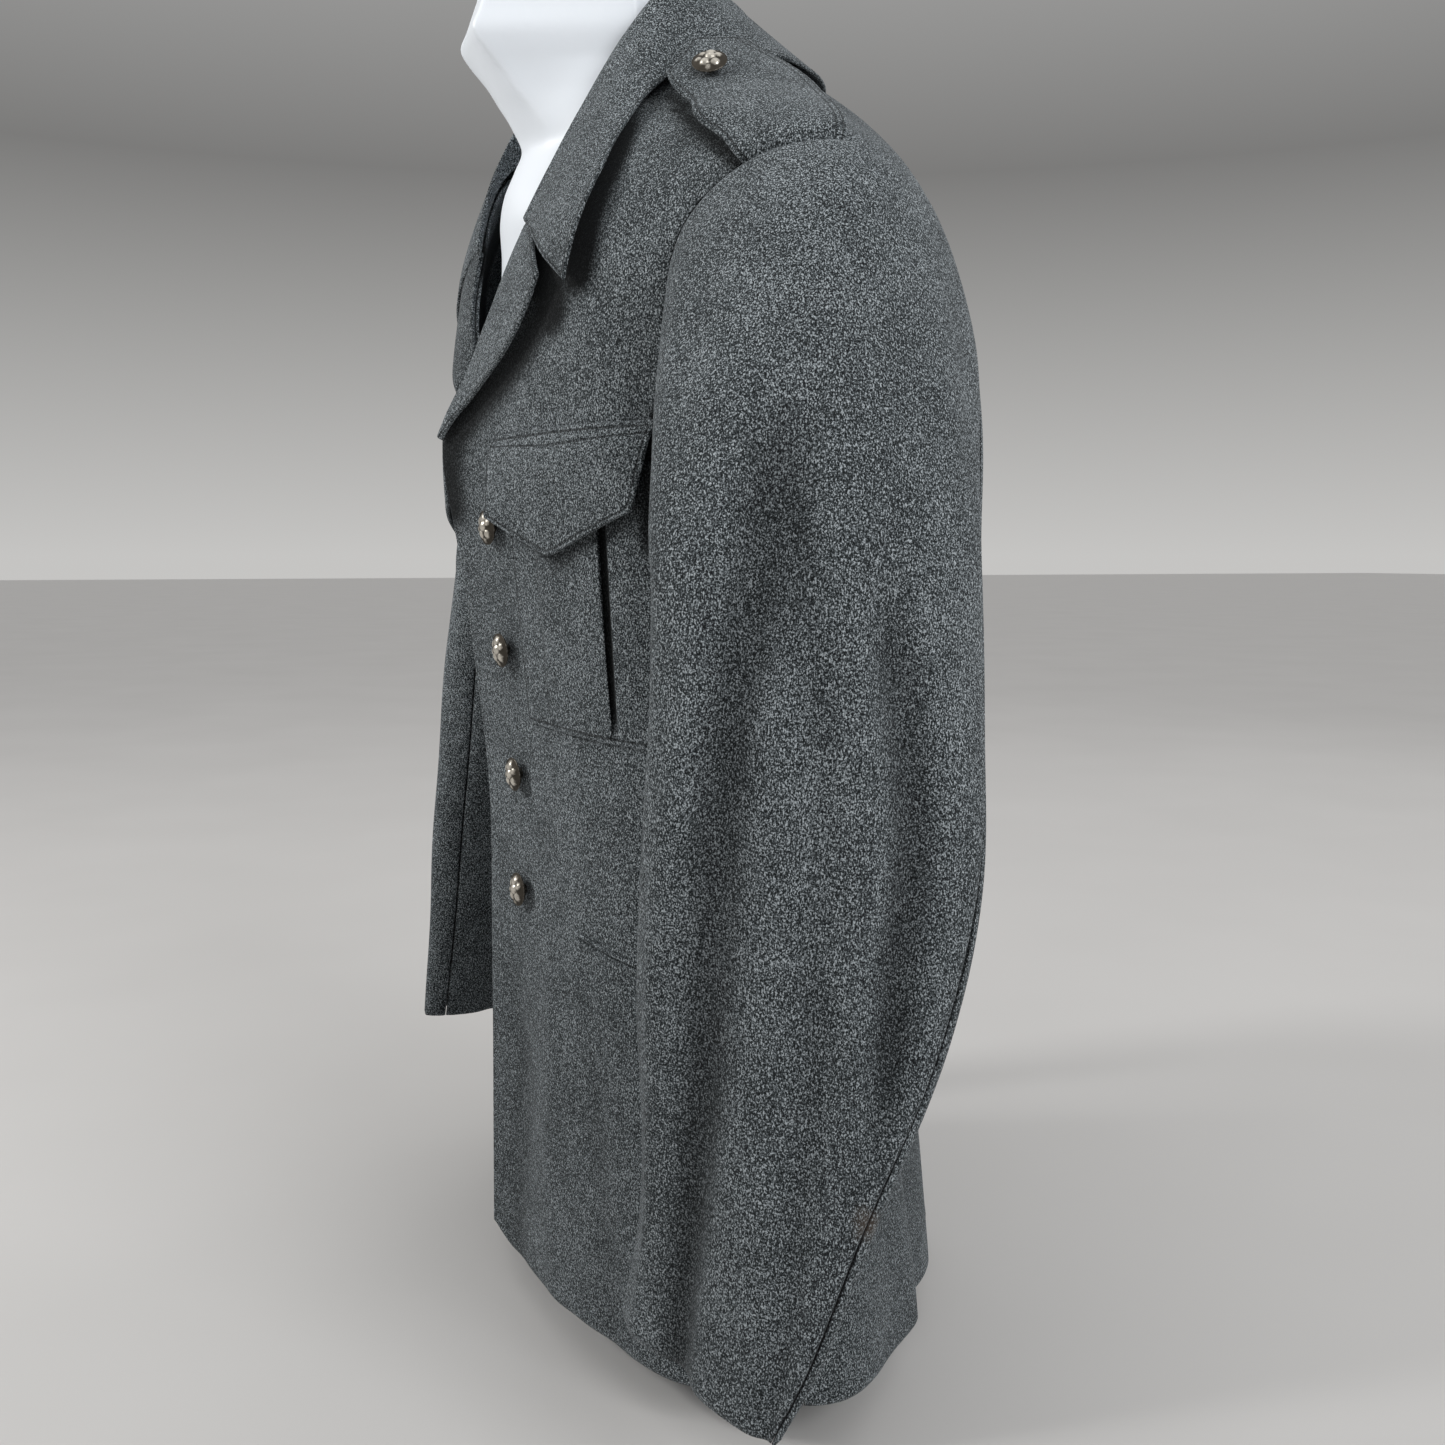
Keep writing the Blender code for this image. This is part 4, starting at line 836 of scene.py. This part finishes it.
def leaf(node, s, z, side, lift, sewn, away, rear_s=None, crease=0.0, second=NO_LINE):
    """A turned and pressed piece that lies on the jacket, stitched along the borders that are sewn.

    With rear_s it has a flat rear of its own spacing, close to the jacket.
    """
    points, normals = on_body(s, z, side)
    outer = folded(points, normals, -lift)
    if rear_s is None:
        under = folded(points, normals, TRIM_WALL - lift)
    else:
        under = folded(*on_body(rear_s, z, side), -SEAT)
    piece = cloth(node, outer, under, WOOL, side < 0, crease=crease,
                  lines=(seam_lines(outer, sewn) - away * 1000, second))
    stitches(node, folded(outer, normals, STITCH_SUNK), normals, sewn, away)


for side, label in SIDES:
    share, across = fine_metres(LAPEL_LENGTH, 0.0022), fine_metres(LAPEL_WIDTH, 0.0016)
    roll_s, roll_z, edge_s, edge_z = table_at(LAPELS[label], share)
    s, z = between(roll_s, edge_s, across), between(roll_z, edge_z, across)
    z += NOTCH_RISE * np.sin(math.pi * across**0.6)[None, :] * (share**6)[:, None]
    lift = SEAT + TRIM_WALL + LAPEL_BELLY * np.sin(math.pi * across)[None, :]
    lift = lift + LAPEL_EDGE_LIFT[label] * across[None, :] ** 2 * np.sqrt(share)[:, None]
    leaf(f"lapel_{label}", s, z, side, lift, (1, 3), LAPEL_STITCH,
         crease=LAPEL_PAINTED_SHADE[label])

# Collar: one piece of the same wool that stands up from the neck seam, rolls over and comes down
# over the fronts; its underside stays open.
# share, neck_s, neck_z, roll_x, roll_y, roll_z, edge_s, edge_z, edge_lift
COLLAR = np.array([
    (0.00, 0.117, 0.6725, 0.0425, -0.1205, 0.6785, 0.2345, 0.6270, 0.0130),
    (0.14, 0.140, 0.6850, 0.0500, -0.1105, 0.6990, 0.247, 0.648, 0.0145),
    (0.28, 0.180, 0.7085, 0.0600, -0.0930, 0.7320, 0.257, 0.677, 0.0125),
    (0.42, 0.240, 0.7355, 0.0675, -0.0680, 0.7740, 0.2755, 0.705, 0.0080),
    (0.56, 0.380, 0.7640, 0.0690, -0.0400, 0.8050, 0.352, 0.741, 0.0060),
    (0.70, 0.560, 0.7695, 0.0560, -0.0100, 0.8080, 0.520, 0.757, 0.0060),
    (0.86, 0.780, 0.7690, 0.0290, 0.0110, 0.8080, 0.800, 0.757, 0.0070),
    (1.00, 1.000, 0.7690, 0.0000, 0.0160, 0.8080, 1.000, 0.752, 0.0075),
])
COLLAR_WALL, FOLD_HALF, FOLD_HEIGHT, STAND_START, LEAF_POWER = 0.0022, 0.0030, 0.0030, 0.0026, 1.2
COLLAR_STITCH = 0.0022


def collar_profile(share, side):
    """Rows of the collar's outer face, from the neck seam over the roll to the outer edge."""
    neck_s, neck_z, roll_x, roll_y, roll_z, edge_s, edge_z, lift = table_at(COLLAR, share)
    neck, above = torso(neck_s, neck_z, side), torso_normals(neck_s, neck_z, side)
    fuller = neck[..., 1] - torso(neck_s, neck_z)[..., 1]
    roll = np.stack([roll_x * side, roll_y + fuller, roll_z], -1)
    out = unit((torso(edge_s, edge_z, side) - neck) * (1, 1, 0))
    up = unit(roll - neck)
    start = neck + up * STAND_START
    stand_top = roll - out * FOLD_HALF - up * FOLD_HEIGHT
    rows = [start, (start + stand_top) / 2, stand_top]
    for turn in np.radians([45, 90, 135]):
        rows.append(roll - out * FOLD_HALF * math.cos(turn) - up * FOLD_HEIGHT * (1 - math.sin(turn)))
    lift = lift[:, None]
    fall = rows[-1] - (neck + above * lift)
    for t in (0.2, 0.45, 0.7, 1.0):
        s, z = neck_s + (edge_s - neck_s) * t, neck_z + (edge_z - neck_z) * t
        rows.append(torso(s, z, side) + torso_normals(s, z, side) * lift + fall * (1 - t) ** LEAF_POWER)
    return np.stack(rows)


half = np.concatenate([[-0.022, -0.0195, -0.016, -0.011], np.linspace(-0.004, 1, 64)])
rows = np.concatenate([collar_profile(half, 1), collar_profile(half, -1)[:, -2::-1]], axis=1)
length = np.concatenate([[0], np.cumsum(np.linalg.norm(np.diff(rows, axis=0), axis=-1).mean(1))])
down = fine_metres(length[-1], 0.0018) * length[-1]
rows = smooth_curve(length, rows.transpose(1, 2, 0), down).transpose(2, 0, 1)
normals = unit(np.cross(np.gradient(rows, axis=0), np.gradient(rows, axis=1)))
on_leaf = np.arange(len(down))[:, None] > len(down) * 0.5
pressed = np.where(on_leaf, seam_lines(rows, (1, 2, 3)) - COLLAR_STITCH * 1000, NO_LINE)
collar = cloth("collar", rows, folded(rows, normals, COLLAR_WALL), WOOL, True, lines=(pressed, NO_LINE))
stitches("collar", folded(rows, normals, STITCH_SUNK), normals, (1,), COLLAR_STITCH)

# Shoulder straps: pieces of the same wool, turned and stitched near their edge, set into the sleeve
# head and held near the collar by a button.
# share, front_s, front_z, rear_s, rear_z, lift
STRAPS = np.array([
    (0.00, 0.402, 0.6720, 0.508, 0.6840, 0.0036),
    (0.12, 0.390, 0.6790, 0.516, 0.6930, 0.0056),
    (0.35, 0.372, 0.6930, 0.528, 0.7110, 0.0074),
    (0.60, 0.352, 0.7110, 0.532, 0.7320, 0.0090),
    (0.85, 0.338, 0.7300, 0.466, 0.7580, 0.0125),
    (1.00, 0.320, 0.7390, 0.434, 0.7640, 0.0165),
])
STRAP_BASE_SHARE, STRAP_POINT = -0.01, 0.15
STRAP_BUTTON_SHARE, STRAP_BUTTON_ACROSS = 0.745, 0.33
STRAP_LENGTH, STRAP_WIDTH, STRAP_STITCH, STRAP_SINK, STRAP_DIMPLE = 0.115, 0.055, 0.0028, 0.0030, 0.0012
STRAP_LINE = 6.8  # millimetres from the rear edge
# The front edge's wave: share of the width that it shifts, then metres that it lifts, steady and varying
WAVE_SHIFT, WAVE_LIFT, WAVE_VARIES = 0.035, 0.0020, 0.0014


def strap_place(place, across):
    front_s, front_z, rear_s, rear_z, lift = table_at(STRAPS, place)
    return front_s + (rear_s - front_s) * across, front_z + (rear_z - front_z) * across, lift


for side, label in SIDES:
    share, across = fine_metres(STRAP_LENGTH, 0.0020)[:, None], fine_metres(STRAP_WIDTH, 0.0016)[None, :]
    ends = 1 - STRAP_POINT * np.abs(across * 2 - 1)
    place = STRAP_BASE_SHARE + share * (ends - STRAP_BASE_SHARE)
    # The front edge is wavy, and the strap dips where the button pulls it down
    wave = ramp(across, 0.35, 0.0) * bump(place, 0.0, 1.05)
    s, z, lift = strap_place(place, across + WAVE_SHIFT * np.sin(place * 15 - 1.0) * wave)
    lift = lift - STRAP_SINK * (1 - ramp(place, -0.02, 0.10))
    waved = (WAVE_LIFT + WAVE_VARIES * np.sin(place * 17 + 0.6)) * wave
    pulled = STRAP_DIMPLE * np.exp(-((place - STRAP_BUTTON_SHARE) / 0.10) ** 2
                             - ((across - STRAP_BUTTON_ACROSS) / 0.20) ** 2)
    # A second pressed line runs along the rear edge
    second = seam_lines(torso(s, z, side), (3,)) - STRAP_LINE
    leaf(f"shoulder_strap_{label}", s, z, side, lift + waved - pulled, (1, 2, 3), STRAP_STITCH,
         second=second)

# Chest pockets: patches with a box pleat whose rear fold stands open, sewn round three sides and
# covered by a pointed flap, which has a second pressed line along its top.
POCKET_FRONT_S, POCKET_REAR_S = 0.112, 0.326
POCKET_FOOT_Z, POCKET_FOOT_DROP, POCKET_TOP_Z, POCKET_WALL = 0.384, 0.006, 0.530, 0.0016
FLAP_TOP_Z, FLAP_FOOT_Z, FLAP_POINT_Z = 0.551, 0.505, 0.481
FLAP_FRONT_S, FLAP_REAR_S, FLAP_REAR_SLANT, FLAP_POINT_SHARE = 0.096, 0.325, 0.020, 0.46
FLAP_OVER_POCKET, FLAP_CORNER_LIFT, POCKET_STITCH = 0.0044, {1: 0.0045, -1: 0.0}, 0.0030
FLAP_WIDTH, FLAP_DROP, FLAP_FOOT_LIFT, FLAP_REAR_LIFT, POINT_ROUNDING = 0.127, 0.058, 0.0010, 0.0015, 0.05
FLAP_LINE = 9.5  # millimetres from the top
POCKET_WIDTH, POCKET_HEIGHT, POCKET_RAISE = 0.165, 0.147, {1: 0.0, -1: 0.010}
PLEAT_FRONT_S, PLEAT_REAR_S, PLEAT_LEAN, PLEAT_FRONT_SHADE = 0.1590, 0.258, 0.0060, 0.45
# Cross section of the patch: s, and the rise in millimetres over the patch's own face
PLEAT = np.array([
    (0.112, 0.0), (0.1128, 0.0), (0.1138, 0.0), (0.1150, 0.0), (0.120, 0.0), (0.126, 0.0), (0.132, 0.0),
    (0.138, 0.0), (0.144, 0.0), (0.150, 0.0), (0.154, 0.0), (0.1575, 0.15), (0.160, 0.6), (0.1622, 1.2),
    (0.165, 1.55), (0.170, 1.7), (0.178, 1.8), (0.186, 1.8), (0.195, 1.8), (0.204, 1.9), (0.213, 1.95),
    (0.222, 2.0), (0.230, 2.1), (0.238, 2.2), (0.245, 2.35), (0.250, 2.5), (0.2535, 2.55), (0.2553, 2.3),
    (0.2558, 1.8), (0.2548, 1.2), (0.2535, 0.7), (0.2530, 0.1), (0.2535, -0.7), (0.2552, -1.3),
    (0.2580, -1.45), (0.2600, -1.4), (0.2618, -1.1), (0.2632, -0.5), (0.2646, -0.1), (0.2670, 0.1),
    (0.273, 0.15), (0.278, 0.1), (0.284, 0.0), (0.290, 0.0), (0.297, 0.0), (0.304, 0.0), (0.311, 0.0),
    (0.318, 0.0), (0.3230, 0.0), (0.3242, 0.0), (0.3252, 0.0), (0.326, 0.0),
])
for side, label in SIDES:
    height = fine_metres(POCKET_HEIGHT, 0.0035)[:, None]
    pleat_s, pleat_rise = PLEAT.T
    foot = POCKET_FOOT_Z - POCKET_FOOT_DROP * (pleat_s - POCKET_FRONT_S) / (POCKET_REAR_S - POCKET_FRONT_S)
    level_z = foot + (POCKET_TOP_Z - foot) * height
    # The pleat leans back towards the pocket's foot
    s = pleat_s + PLEAT_LEAN * (1 - height) * bump(pleat_s, 0.18, 0.34)
    rise = 0.001 * pleat_rise * np.where(pleat_rise > 0, 0.15 + 0.85 * ramp(height, 0, 0.7),
                                         ramp(height, 0, 0.10))
    flat_s = np.linspace(POCKET_FRONT_S, POCKET_REAR_S, len(PLEAT)) + 0 * height
    # Shade in the open rear fold and along the front one
    opened = ramp(-pleat_rise, 0.0, 0.7) * (np.abs(pleat_s - PLEAT_REAR_S) < 0.008)
    fronted = PLEAT_FRONT_SHADE * np.exp(-((pleat_s - PLEAT_FRONT_S) / 0.0018) ** 2)
    crease = np.maximum(opened, fronted) * ramp(height, -0.04, 0.12)
    crease = np.maximum(crease, edge_shade(s, level_z))
    leaf(f"chest_pocket_{label}", s, level_z + POCKET_RAISE[side], side, SEAT + POCKET_WALL + rise,
         (0, 2, 3), POCKET_STITCH,
         flat_s, crease)

    down, across = fine_metres(FLAP_DROP, 0.0016)[::-1][:, None], fine_metres(FLAP_WIDTH, 0.0020)
    reach = np.minimum(across / FLAP_POINT_SHARE, (1 - across) / (1 - FLAP_POINT_SHARE))
    reach = reach - POINT_ROUNDING * np.exp(-((across - FLAP_POINT_SHARE) / 0.045) ** 2)
    foot = FLAP_FOOT_Z + (FLAP_POINT_Z - FLAP_FOOT_Z) * reach
    z = FLAP_TOP_Z + (foot - FLAP_TOP_Z) * down + POCKET_RAISE[side]
    s = FLAP_FRONT_S + (FLAP_REAR_S - FLAP_REAR_SLANT * down - FLAP_FRONT_S) * across
    corner = FLAP_CORNER_LIFT[side] * ramp(across, 0.45, 0.0) + FLAP_REAR_LIFT * ramp(across, 0.8, 1.0)
    lift = SEAT + TRIM_WALL + FLAP_OVER_POCKET * ramp(down, 0.0, 0.30)
    lift = lift + (FLAP_FOOT_LIFT + corner) * down**1.5
    second = down * np.max(seam_lines(torso(s, z, side), (0,))) - FLAP_LINE + 0 * z
    leaf(f"chest_flap_{label}", s, z, side, lift, (0, 1, 2, 3), POCKET_STITCH,
         second=second)

# Hip pockets: a slit in each front between two narrow piped edges of the same cloth.
WELT_FRONT, WELT_REAR = (0.187, 0.2670), (0.385, 0.2520)
WELT_LENGTH, WELT_HEIGHT, WELT_RISE = 0.113, 0.0065, 0.0016
SLIT_DEPTH, SLIT_SHADE, WELT_EDGE_SHADE = 0.9, 0.85, 0.35
for side, label in SIDES:
    share, height = fine_metres(WELT_LENGTH, 0.003)[None, :], np.linspace(-1, 0, 17)[:, None]
    s = WELT_FRONT[0] + (WELT_REAR[0] - WELT_FRONT[0]) * share + 0 * height
    z = WELT_FRONT[1] + (WELT_REAR[1] - WELT_FRONT[1]) * share + height * WELT_HEIGHT
    # Each piping is round, and the slit between them is pressed shut
    from_slit = height + 0.5
    piped = WELT_RISE * (1 - SLIT_DEPTH * np.exp(-(from_slit / 0.09) ** 2))
    piped = piped * (0.55 + 0.45 * np.abs(np.sin(2 * math.pi * height)))
    points, normals = on_body(s, z, side)
    # Painted shade in the slit and along the pipings' outer edges
    dark = SLIT_SHADE * np.exp(-(from_slit / 0.08) ** 2) + WELT_EDGE_SHADE * (np.abs(from_slit) > 0.47)
    piece = cloth(f"hip_welt_{label}", folded(points, normals, -(SEAT * 0.3 + piped)),
                  folded(points, normals, -SEAT * 0.1), WOOL, side < 0, crease=dark)

# Buttons: domed plates of aged silver metal struck with a plain relief of rounded lumps, each on a
# shank. The front ones have the thread of a worked hole beside them.
BUTTON_S, BUTTON_HEIGHTS = 0.080, (0.499, 0.426, 0.350, 0.278)
BUTTON_RADIUS, STRAP_BUTTON_RADIUS, STRAP_BUTTON_SINK, HOLE_HALF = 0.01025, 0.0095, 0.0012, 0.0011

silver = Finish("aged_silver", Metallic=0.92, Specular_IOR_Level=0.5)
recess = silver.node("ShaderNodeAttribute", {"attribute_name": "recess"}, {}, "Fac")
tarnish = (silver.noise(520, 3.0, 0.6) * 0.9 + recess * 0.7).step(0.35, 1.00)
SILVER = silver.link(
    Base_Color=silver.blend(tarnish, (0.64, 0.60, 0.53, 1), (0.060, 0.052, 0.042, 1)),
    Roughness=0.30 + tarnish * 0.38,
    Normal=silver.relief(silver.noise(1400, 2.0, 0.6), 0.0002, 0.4))


# The struck relief, for a face of radius 1: x, y, half width and height of each of its rounded lumps
RELIEF = (
    (0.04, 0.56, 0.30, 0.13), (-0.42, 0.40, 0.24, 0.10), (0.50, 0.28, 0.22, 0.11),
    (-0.62, -0.08, 0.20, 0.09), (0.08, 0.08, 0.30, 0.17), (-0.22, -0.38, 0.26, 0.14),
    (0.40, -0.38, 0.26, 0.12), (0.00, -0.74, 0.18, 0.08),
)
# Radius and height of the shank, the back and the turned edge, for a button of radius 1
BUTTON_RINGS = ((0.30, 0.00), (0.30, 0.30), (0.36, 0.36), (0.80, 0.38), (0.94, 0.41), (1.0, 0.48),
                (1.0, 0.54))
BUTTON_SIDES, FACE_RINGS, SHANK_TARNISH = 72, 34, 0.6
FACE_HEIGHT, FACE_DOME, RELIEF_DEPTH, FACE_LIMIT, FACE_MIDDLE = 0.50, 0.26, 0.10, 0.93, 0.80


def button_height(radius, angle):
    """Height of the face and how deep it lies in the relief, for a button of radius 1."""
    x, y = radius * np.cos(angle), radius * np.sin(angle)
    lumps = [rise * np.exp(-(((x - at_x) ** 2 + (y - at_y) ** 2) / wide**2) ** 1.5)
             for at_x, at_y, wide, rise in RELIEF]
    relief = np.max(lumps, axis=0)
    return FACE_HEIGHT + FACE_DOME * (1 - radius**2) + relief, 1 - np.clip(relief / RELIEF_DEPTH, 0, 1)


def button(name, place, normal, radius):
    normal = unit(normal)
    level = unit(np.cross((0, 0, 1.0), normal))
    upright = np.cross(normal, level)
    angle = np.linspace(0, 2 * math.pi, BUTTON_SIDES, endpoint=False)
    spokes = level * np.cos(angle)[:, None] + upright * np.sin(angle)[:, None]
    rings = [(ring, np.full(BUTTON_SIDES, height)) for ring, height in BUTTON_RINGS]
    sunk = [np.full(BUTTON_SIDES, SHANK_TARNISH)] * len(BUTTON_RINGS)
    for ring in np.linspace(0.975, 0.035, FACE_RINGS):
        height, deep = button_height(ring, angle)
        rings.append((ring, np.minimum(height, FACE_LIMIT)))
        sunk.append(deep)
    points = [place + normal * SEAT]
    for across, height in rings:
        points += list(place + normal * (SEAT + height * radius)[:, None] + spokes * (across * radius))
    points.append(place + normal * (SEAT + FACE_MIDDLE * radius))
    around, number = tube_faces(len(rings), BUTTON_SIDES, 1)
    pairs = list(zip(number[0].tolist(), np.roll(number[0], -1).tolist()))
    faces = [(0, after, this) for this, after in pairs] + around
    last = int(number[-1, 0] - number[0, 0])
    faces += [(this + last, after + last, len(points) - 1) for this, after in pairs]
    piece = mesh_piece(f"{name}_plate", points, faces, SILVER, [name])
    depth = piece.data.attributes.new("recess", "FLOAT", "POINT")
    depth.data.foreach_set("value", np.concatenate([[SHANK_TARNISH], *sunk, [0.0]]))


def buttonhole(name, place, normal, radius, ahead):
    """A narrow loop of stitches under the button, its end showing beside it."""
    turn = np.linspace(0, 2 * math.pi, 60)[:, None]
    path = place + ahead * (radius * 0.35 + np.cos(turn) * radius * 1.05)
    path = path + np.cross(normal, ahead) * np.sin(turn) * HOLE_HALF
    made, faces = stitch_row(path, np.repeat(normal[None], len(path), axis=0))
    mesh_piece(name, made, faces.tolist(), THREAD)


for number, height in enumerate(BUTTON_HEIGHTS, 1):
    place, normal = on_body(BUTTON_S, height, 1)
    button(f"front_button_{number}", place, normal, BUTTON_RADIUS)
    ahead = unit(torso(BUTTON_S + 0.001, height) - torso(BUTTON_S, height))
    buttonhole(f"buttonhole_{number}", place, normal, BUTTON_RADIUS, ahead)
for side, label in SIDES:
    s, z, lift = strap_place(STRAP_BUTTON_SHARE, STRAP_BUTTON_ACROSS)
    normal = torso_normals(s, z, side)
    place = torso(s, z, side) + normal * (lift - STRAP_BUTTON_SINK)
    button(f"strap_button_{label}", place, normal + (0.30 * side, -0.10, 0.0), STRAP_BUTTON_RADIUS)

# Torso form: one closed moulding of satin white plastic with a leaning, faceted neck, standing on
# its flat foot; the jacket rests on its shoulders.
# z, half_x, front_y, rear_y, how far its sides follow the cloth of the shoulders
FORM_SECTIONS = np.array([
    (0.000, 0.160, -0.0880, 0.098, 0.0),
    (0.110, 0.162, -0.0900, 0.098, 0.0),
    (0.230, 0.156, -0.0920, 0.090, 0.0),
    (0.340, 0.152, -0.0940, 0.084, 0.0),
    (0.430, 0.160, -0.1020, 0.090, 0.0),
    (0.500, 0.172, -0.1100, 0.098, 0.0),
    (0.560, 0.180, -0.1160, 0.102, 0.0),
    (0.610, 0.184, -0.1200, 0.100, 0.0),
    (0.640, 0.150, -0.1240, 0.080, 0.7),
    (0.662, 0.100, -0.1250, 0.062, 1.0),
    (0.683, 0.078, -0.1262, 0.052, 1.0),
    (0.697, 0.070, -0.1235, 0.046, 1.0),
    (0.711, 0.066, -0.1175, 0.042, 1.0),
    (0.725, 0.063, -0.1125, 0.036, 1.0),
    (0.739, 0.060, -0.1190, 0.030, 0.92),
    (0.752, 0.056, -0.1270, 0.024, 0.50),
    (0.763, 0.057, -0.1340, 0.019, 0.35),
    (0.773, 0.057, -0.1400, 0.014, 0.1),
    (0.783, 0.057, -0.1450, 0.010, 0.0),
    (0.795, 0.056, -0.1410, 0.005, 0.0),
    (0.812, 0.054, -0.1350, 0.000, 0.0),
    (0.826, 0.051, -0.1300, -0.006, 0.0),
    (0.832, 0.044, -0.1220, -0.014, 0.0),
])
FACET_TURNS, FACETS_FROM_Z, FACETS_FULL_Z = np.radians([0, 22, 98, 150, 180]), 0.700, 0.755
FORM_CLEARANCE, FORM_EASE, FORM_CHEST_TURN, FORM_FRONT_S = WALL + 0.0050, 0.010, 75.0, 0.037


def form_ring(z):
    """Closed ring of the form, from its front by the left side and the back to the right side."""
    half_x, front_y, rear_y, cloth_share = table_at(FORM_SECTIONS, z)
    s = FORM_FRONT_S + (1 - FORM_FRONT_S) * np.linspace(0, 1, 73) ** 1.08
    turn = math.pi * (s - s[0]) / (s[-1] - s[0])
    middle, half_y = (front_y + rear_y) / 2, (rear_y - front_y) / 2
    oval = np.stack([half_x * np.sin(turn), middle - half_y * np.cos(turn), np.full_like(s, z)], -1)
    # The neck is cut into flat facets
    corner_x = half_x * np.sin(FACET_TURNS)
    corner_y = middle - half_y * np.cos(FACET_TURNS)
    corner_y[:2] = front_y
    flat_x, flat_y = (np.interp(turn, FACET_TURNS, corner) for corner in (corner_x, corner_y))
    flat = np.stack([flat_x, flat_y, oval[:, 2]], -1)
    oval = oval + (flat - oval) * ramp(z, FACETS_FROM_Z, FACETS_FULL_Z)
    height = np.full_like(s, min(z, NECK_Z))
    clear = FORM_CLEARANCE + FORM_EASE * ramp(np.abs(s - 0.5), 0.03, 0.4)
    under = torso(s, height) - torso_normals(s, height) * clear[:, None]
    share = np.clip(cloth_share, 0, 1) * ramp(np.degrees(turn), 0, FORM_CHEST_TURN)
    left = oval + (under - oval) * share[:, None]
    left[[0, -1], 0] = 0
    return np.concatenate([left, left[-2:0:-1] * (-1, 1, 1)])


plastic = Finish("white_plastic", Roughness=0.40, Coat_Weight=0.12, Coat_Roughness=0.30)
clouding = plastic.noise(9, 3.0, 0.55)
PLASTIC = plastic.link(
    Base_Color=plastic.blend(clouding, (0.85, 0.90, 0.96, 1), (0.90, 0.94, 0.99, 1)),
    Roughness=0.38 + clouding * 0.16, Normal=plastic.relief(plastic.noise(160, 2.0), 0.0002, 0.25))
levels = [*np.linspace(0, 0.60, 61), *np.linspace(0.605, 0.822, 88), 0.826, 0.829, 0.831, 0.832]
rings = np.stack([form_ring(z) for z in levels])
faces, number = tube_faces(*rings.shape[:2])
faces += [number[0, ::-1].tolist(), number[-1].tolist()]
mesh_piece("torso_form_shell", rings.reshape(-1, 3), faces, PLASTIC, ["torso_form"])
